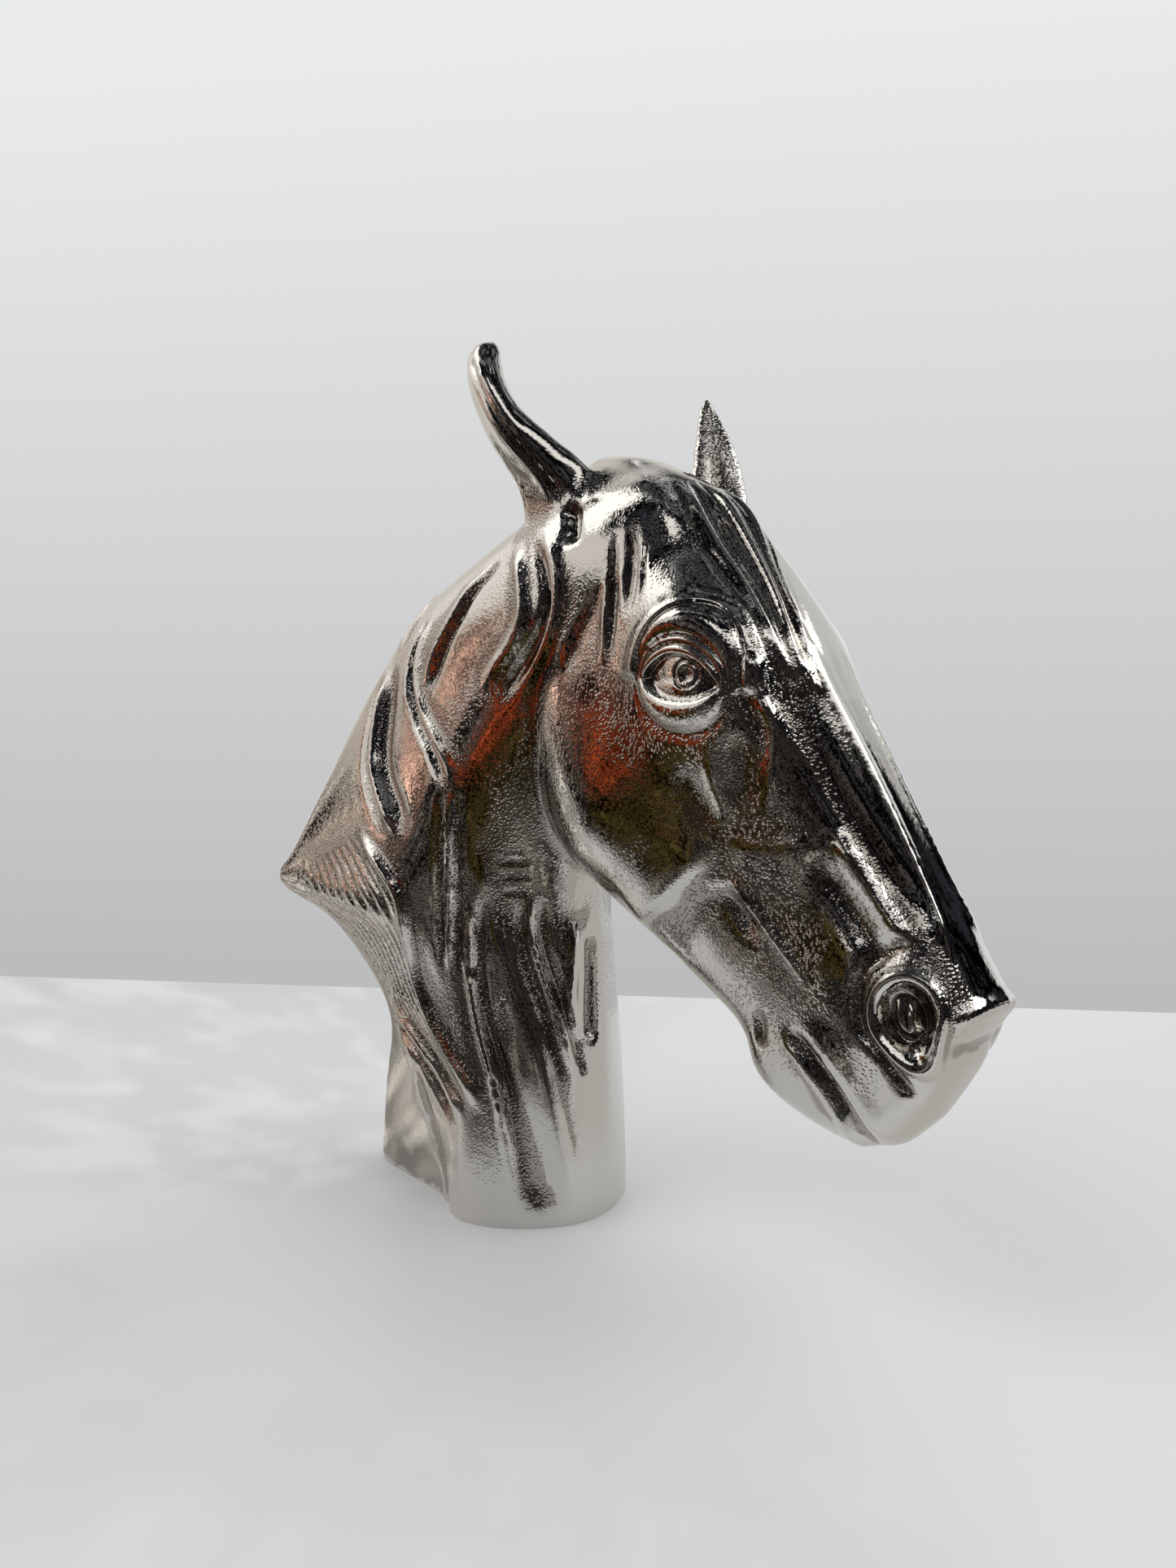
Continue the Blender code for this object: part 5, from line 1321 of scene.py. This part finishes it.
def place_camera():
    """Camera where the photograph was taken from, a little above the middle of the head."""
    turn, dip = math.radians(CAMERA_TURN), math.radians(CAMERA_DIP)
    sight = Vector((-math.sin(turn) * math.cos(dip), math.cos(turn) * math.cos(dip), -math.sin(dip)))
    aim = sight.to_track_quat("-Z", "Y").to_euler()
    bpy.ops.object.camera_add(location=CAMERA_PLACE, rotation=aim)
    camera = bpy.context.object
    camera.data.sensor_width = SENSOR_WIDTH
    camera.data.lens = SENSOR_WIDTH * LENS_PIXELS / PICTURE_HEIGHT
    camera.data.clip_start = NEAREST
    bpy.context.scene.camera = camera


# Settings, buttons and panel


class HorseHeadSettings(bpy.types.PropertyGroup):
    grain_depth: bpy.props.FloatProperty(
        name="Grain depth", description="Depth of the cast grain", default=0.00023, unit="LENGTH", precision=5
    )
    polish: bpy.props.FloatProperty(
        name="Polish", description="Roughness of the brightest metal", default=0.03, subtype="FACTOR"
    )
    nickel: bpy.props.FloatVectorProperty(
        name="Nickel", description="Colour of the bright metal", default=(0.68, 0.66, 0.625), subtype="COLOR"
    )
    # colour of the hollows, which also darkens the drilled pupil and the iris ring as painted shade, and the
    # specks of the grain
    hollow: bpy.props.FloatVectorProperty(
        name="Hollows", description="Colour of dull metal", default=(0.30, 0.27, 0.24), subtype="COLOR"
    )
    mesh_step: bpy.props.FloatProperty(
        name="Mesh step", description="Fineness of the uncarved skin", default=0.0014, unit="LENGTH"
    )


class StudioSettings(bpy.types.PropertyGroup):
    table: bpy.props.FloatVectorProperty(
        name="Table", description="Colour of the table top", default=(0.80, 0.80, 0.80), subtype="COLOR"
    )
    # the wall's colour is the painted light that it glows with at its top
    wall: bpy.props.FloatVectorProperty(
        name="Wall", description="Colour of the wall behind", default=(0.820, 0.834, 0.842), subtype="COLOR"
    )


class HORSEHEAD_OT_casting(bpy.types.Operator):
    """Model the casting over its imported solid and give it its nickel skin"""
    bl_idname = "horsehead.casting"
    bl_label = "Casting"

    def execute(self, context):
        settings = context.scene.horse_head
        bpy.ops.object.select_all(action="DESELECT")
        head, neck = head_volume(), neck_volume()
        head_tree, neck_tree = surface_tree(head), surface_tree(neck)
        near_ear = ear_volume("near_ear", NEAR_EAR, NEAR_OUTLINE)
        far_ear = ear_volume("far_ear", FAR_EAR, FAR_OUTLINE)
        step = settings.mesh_step * 1.0
        casting = fuse((head, neck, near_ear, far_ear), "horse_head", step)
        carve(casting, head_tree, neck_tree)
        cut_underside(casting)
        write_surface_marks(casting, head_tree, neck_tree)
        casting.data.materials.clear()
        casting.data.materials.append(nickel_skin(settings))
        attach(casting, "root")
        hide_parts(SOLID_NODE)
        return {"FINISHED"}


class HORSEHEAD_OT_studio(bpy.types.Operator):
    """Set up the table, the wall, the lights and the camera"""
    bl_idname = "horsehead.studio"
    bl_label = "Studio"

    def execute(self, context):
        settings = context.scene.horse_studio
        table_and_wall(settings)
        reflected_room()
        soft_light("key", *KEY_LIGHT)
        soft_light("fill", *FILL_LIGHT)
        world = bpy.data.worlds.new("studio")
        world.use_nodes = True
        world.node_tree.nodes["Background"].inputs["Color"].default_value = WORLD_LIGHT
        context.scene.world = world
        context.scene.view_settings.view_transform = "Standard"
        place_camera()
        return {"FINISHED"}


class HORSEHEAD_PT_panel(bpy.types.Panel):
    bl_label = "Horse Head"
    bl_idname = "HORSEHEAD_PT_panel"
    bl_space_type = "VIEW_3D"
    bl_region_type = "UI"
    bl_category = "Horse Head"

    def draw(self, context):
        layout = self.layout
        for settings in (context.scene.horse_head, context.scene.horse_studio):
            for name in settings.__annotations__:
                layout.prop(settings, name)
        layout.operator(HORSEHEAD_OT_casting.bl_idname)
        layout.operator(HORSEHEAD_OT_studio.bl_idname)


CLASSES = (HorseHeadSettings, StudioSettings, HORSEHEAD_OT_casting, HORSEHEAD_OT_studio, HORSEHEAD_PT_panel)


def register():
    for part in CLASSES:
        bpy.utils.register_class(part)
    bpy.types.Scene.horse_head = bpy.props.PointerProperty(type=HorseHeadSettings)
    bpy.types.Scene.horse_studio = bpy.props.PointerProperty(type=StudioSettings)


def unregister():
    del bpy.types.Scene.horse_head
    del bpy.types.Scene.horse_studio
    for part in reversed(CLASSES):
        bpy.utils.unregister_class(part)


def main():
    register()
    bpy.ops.horsehead.casting()
    bpy.ops.horsehead.studio()


if __name__ == "__main__":
    main()
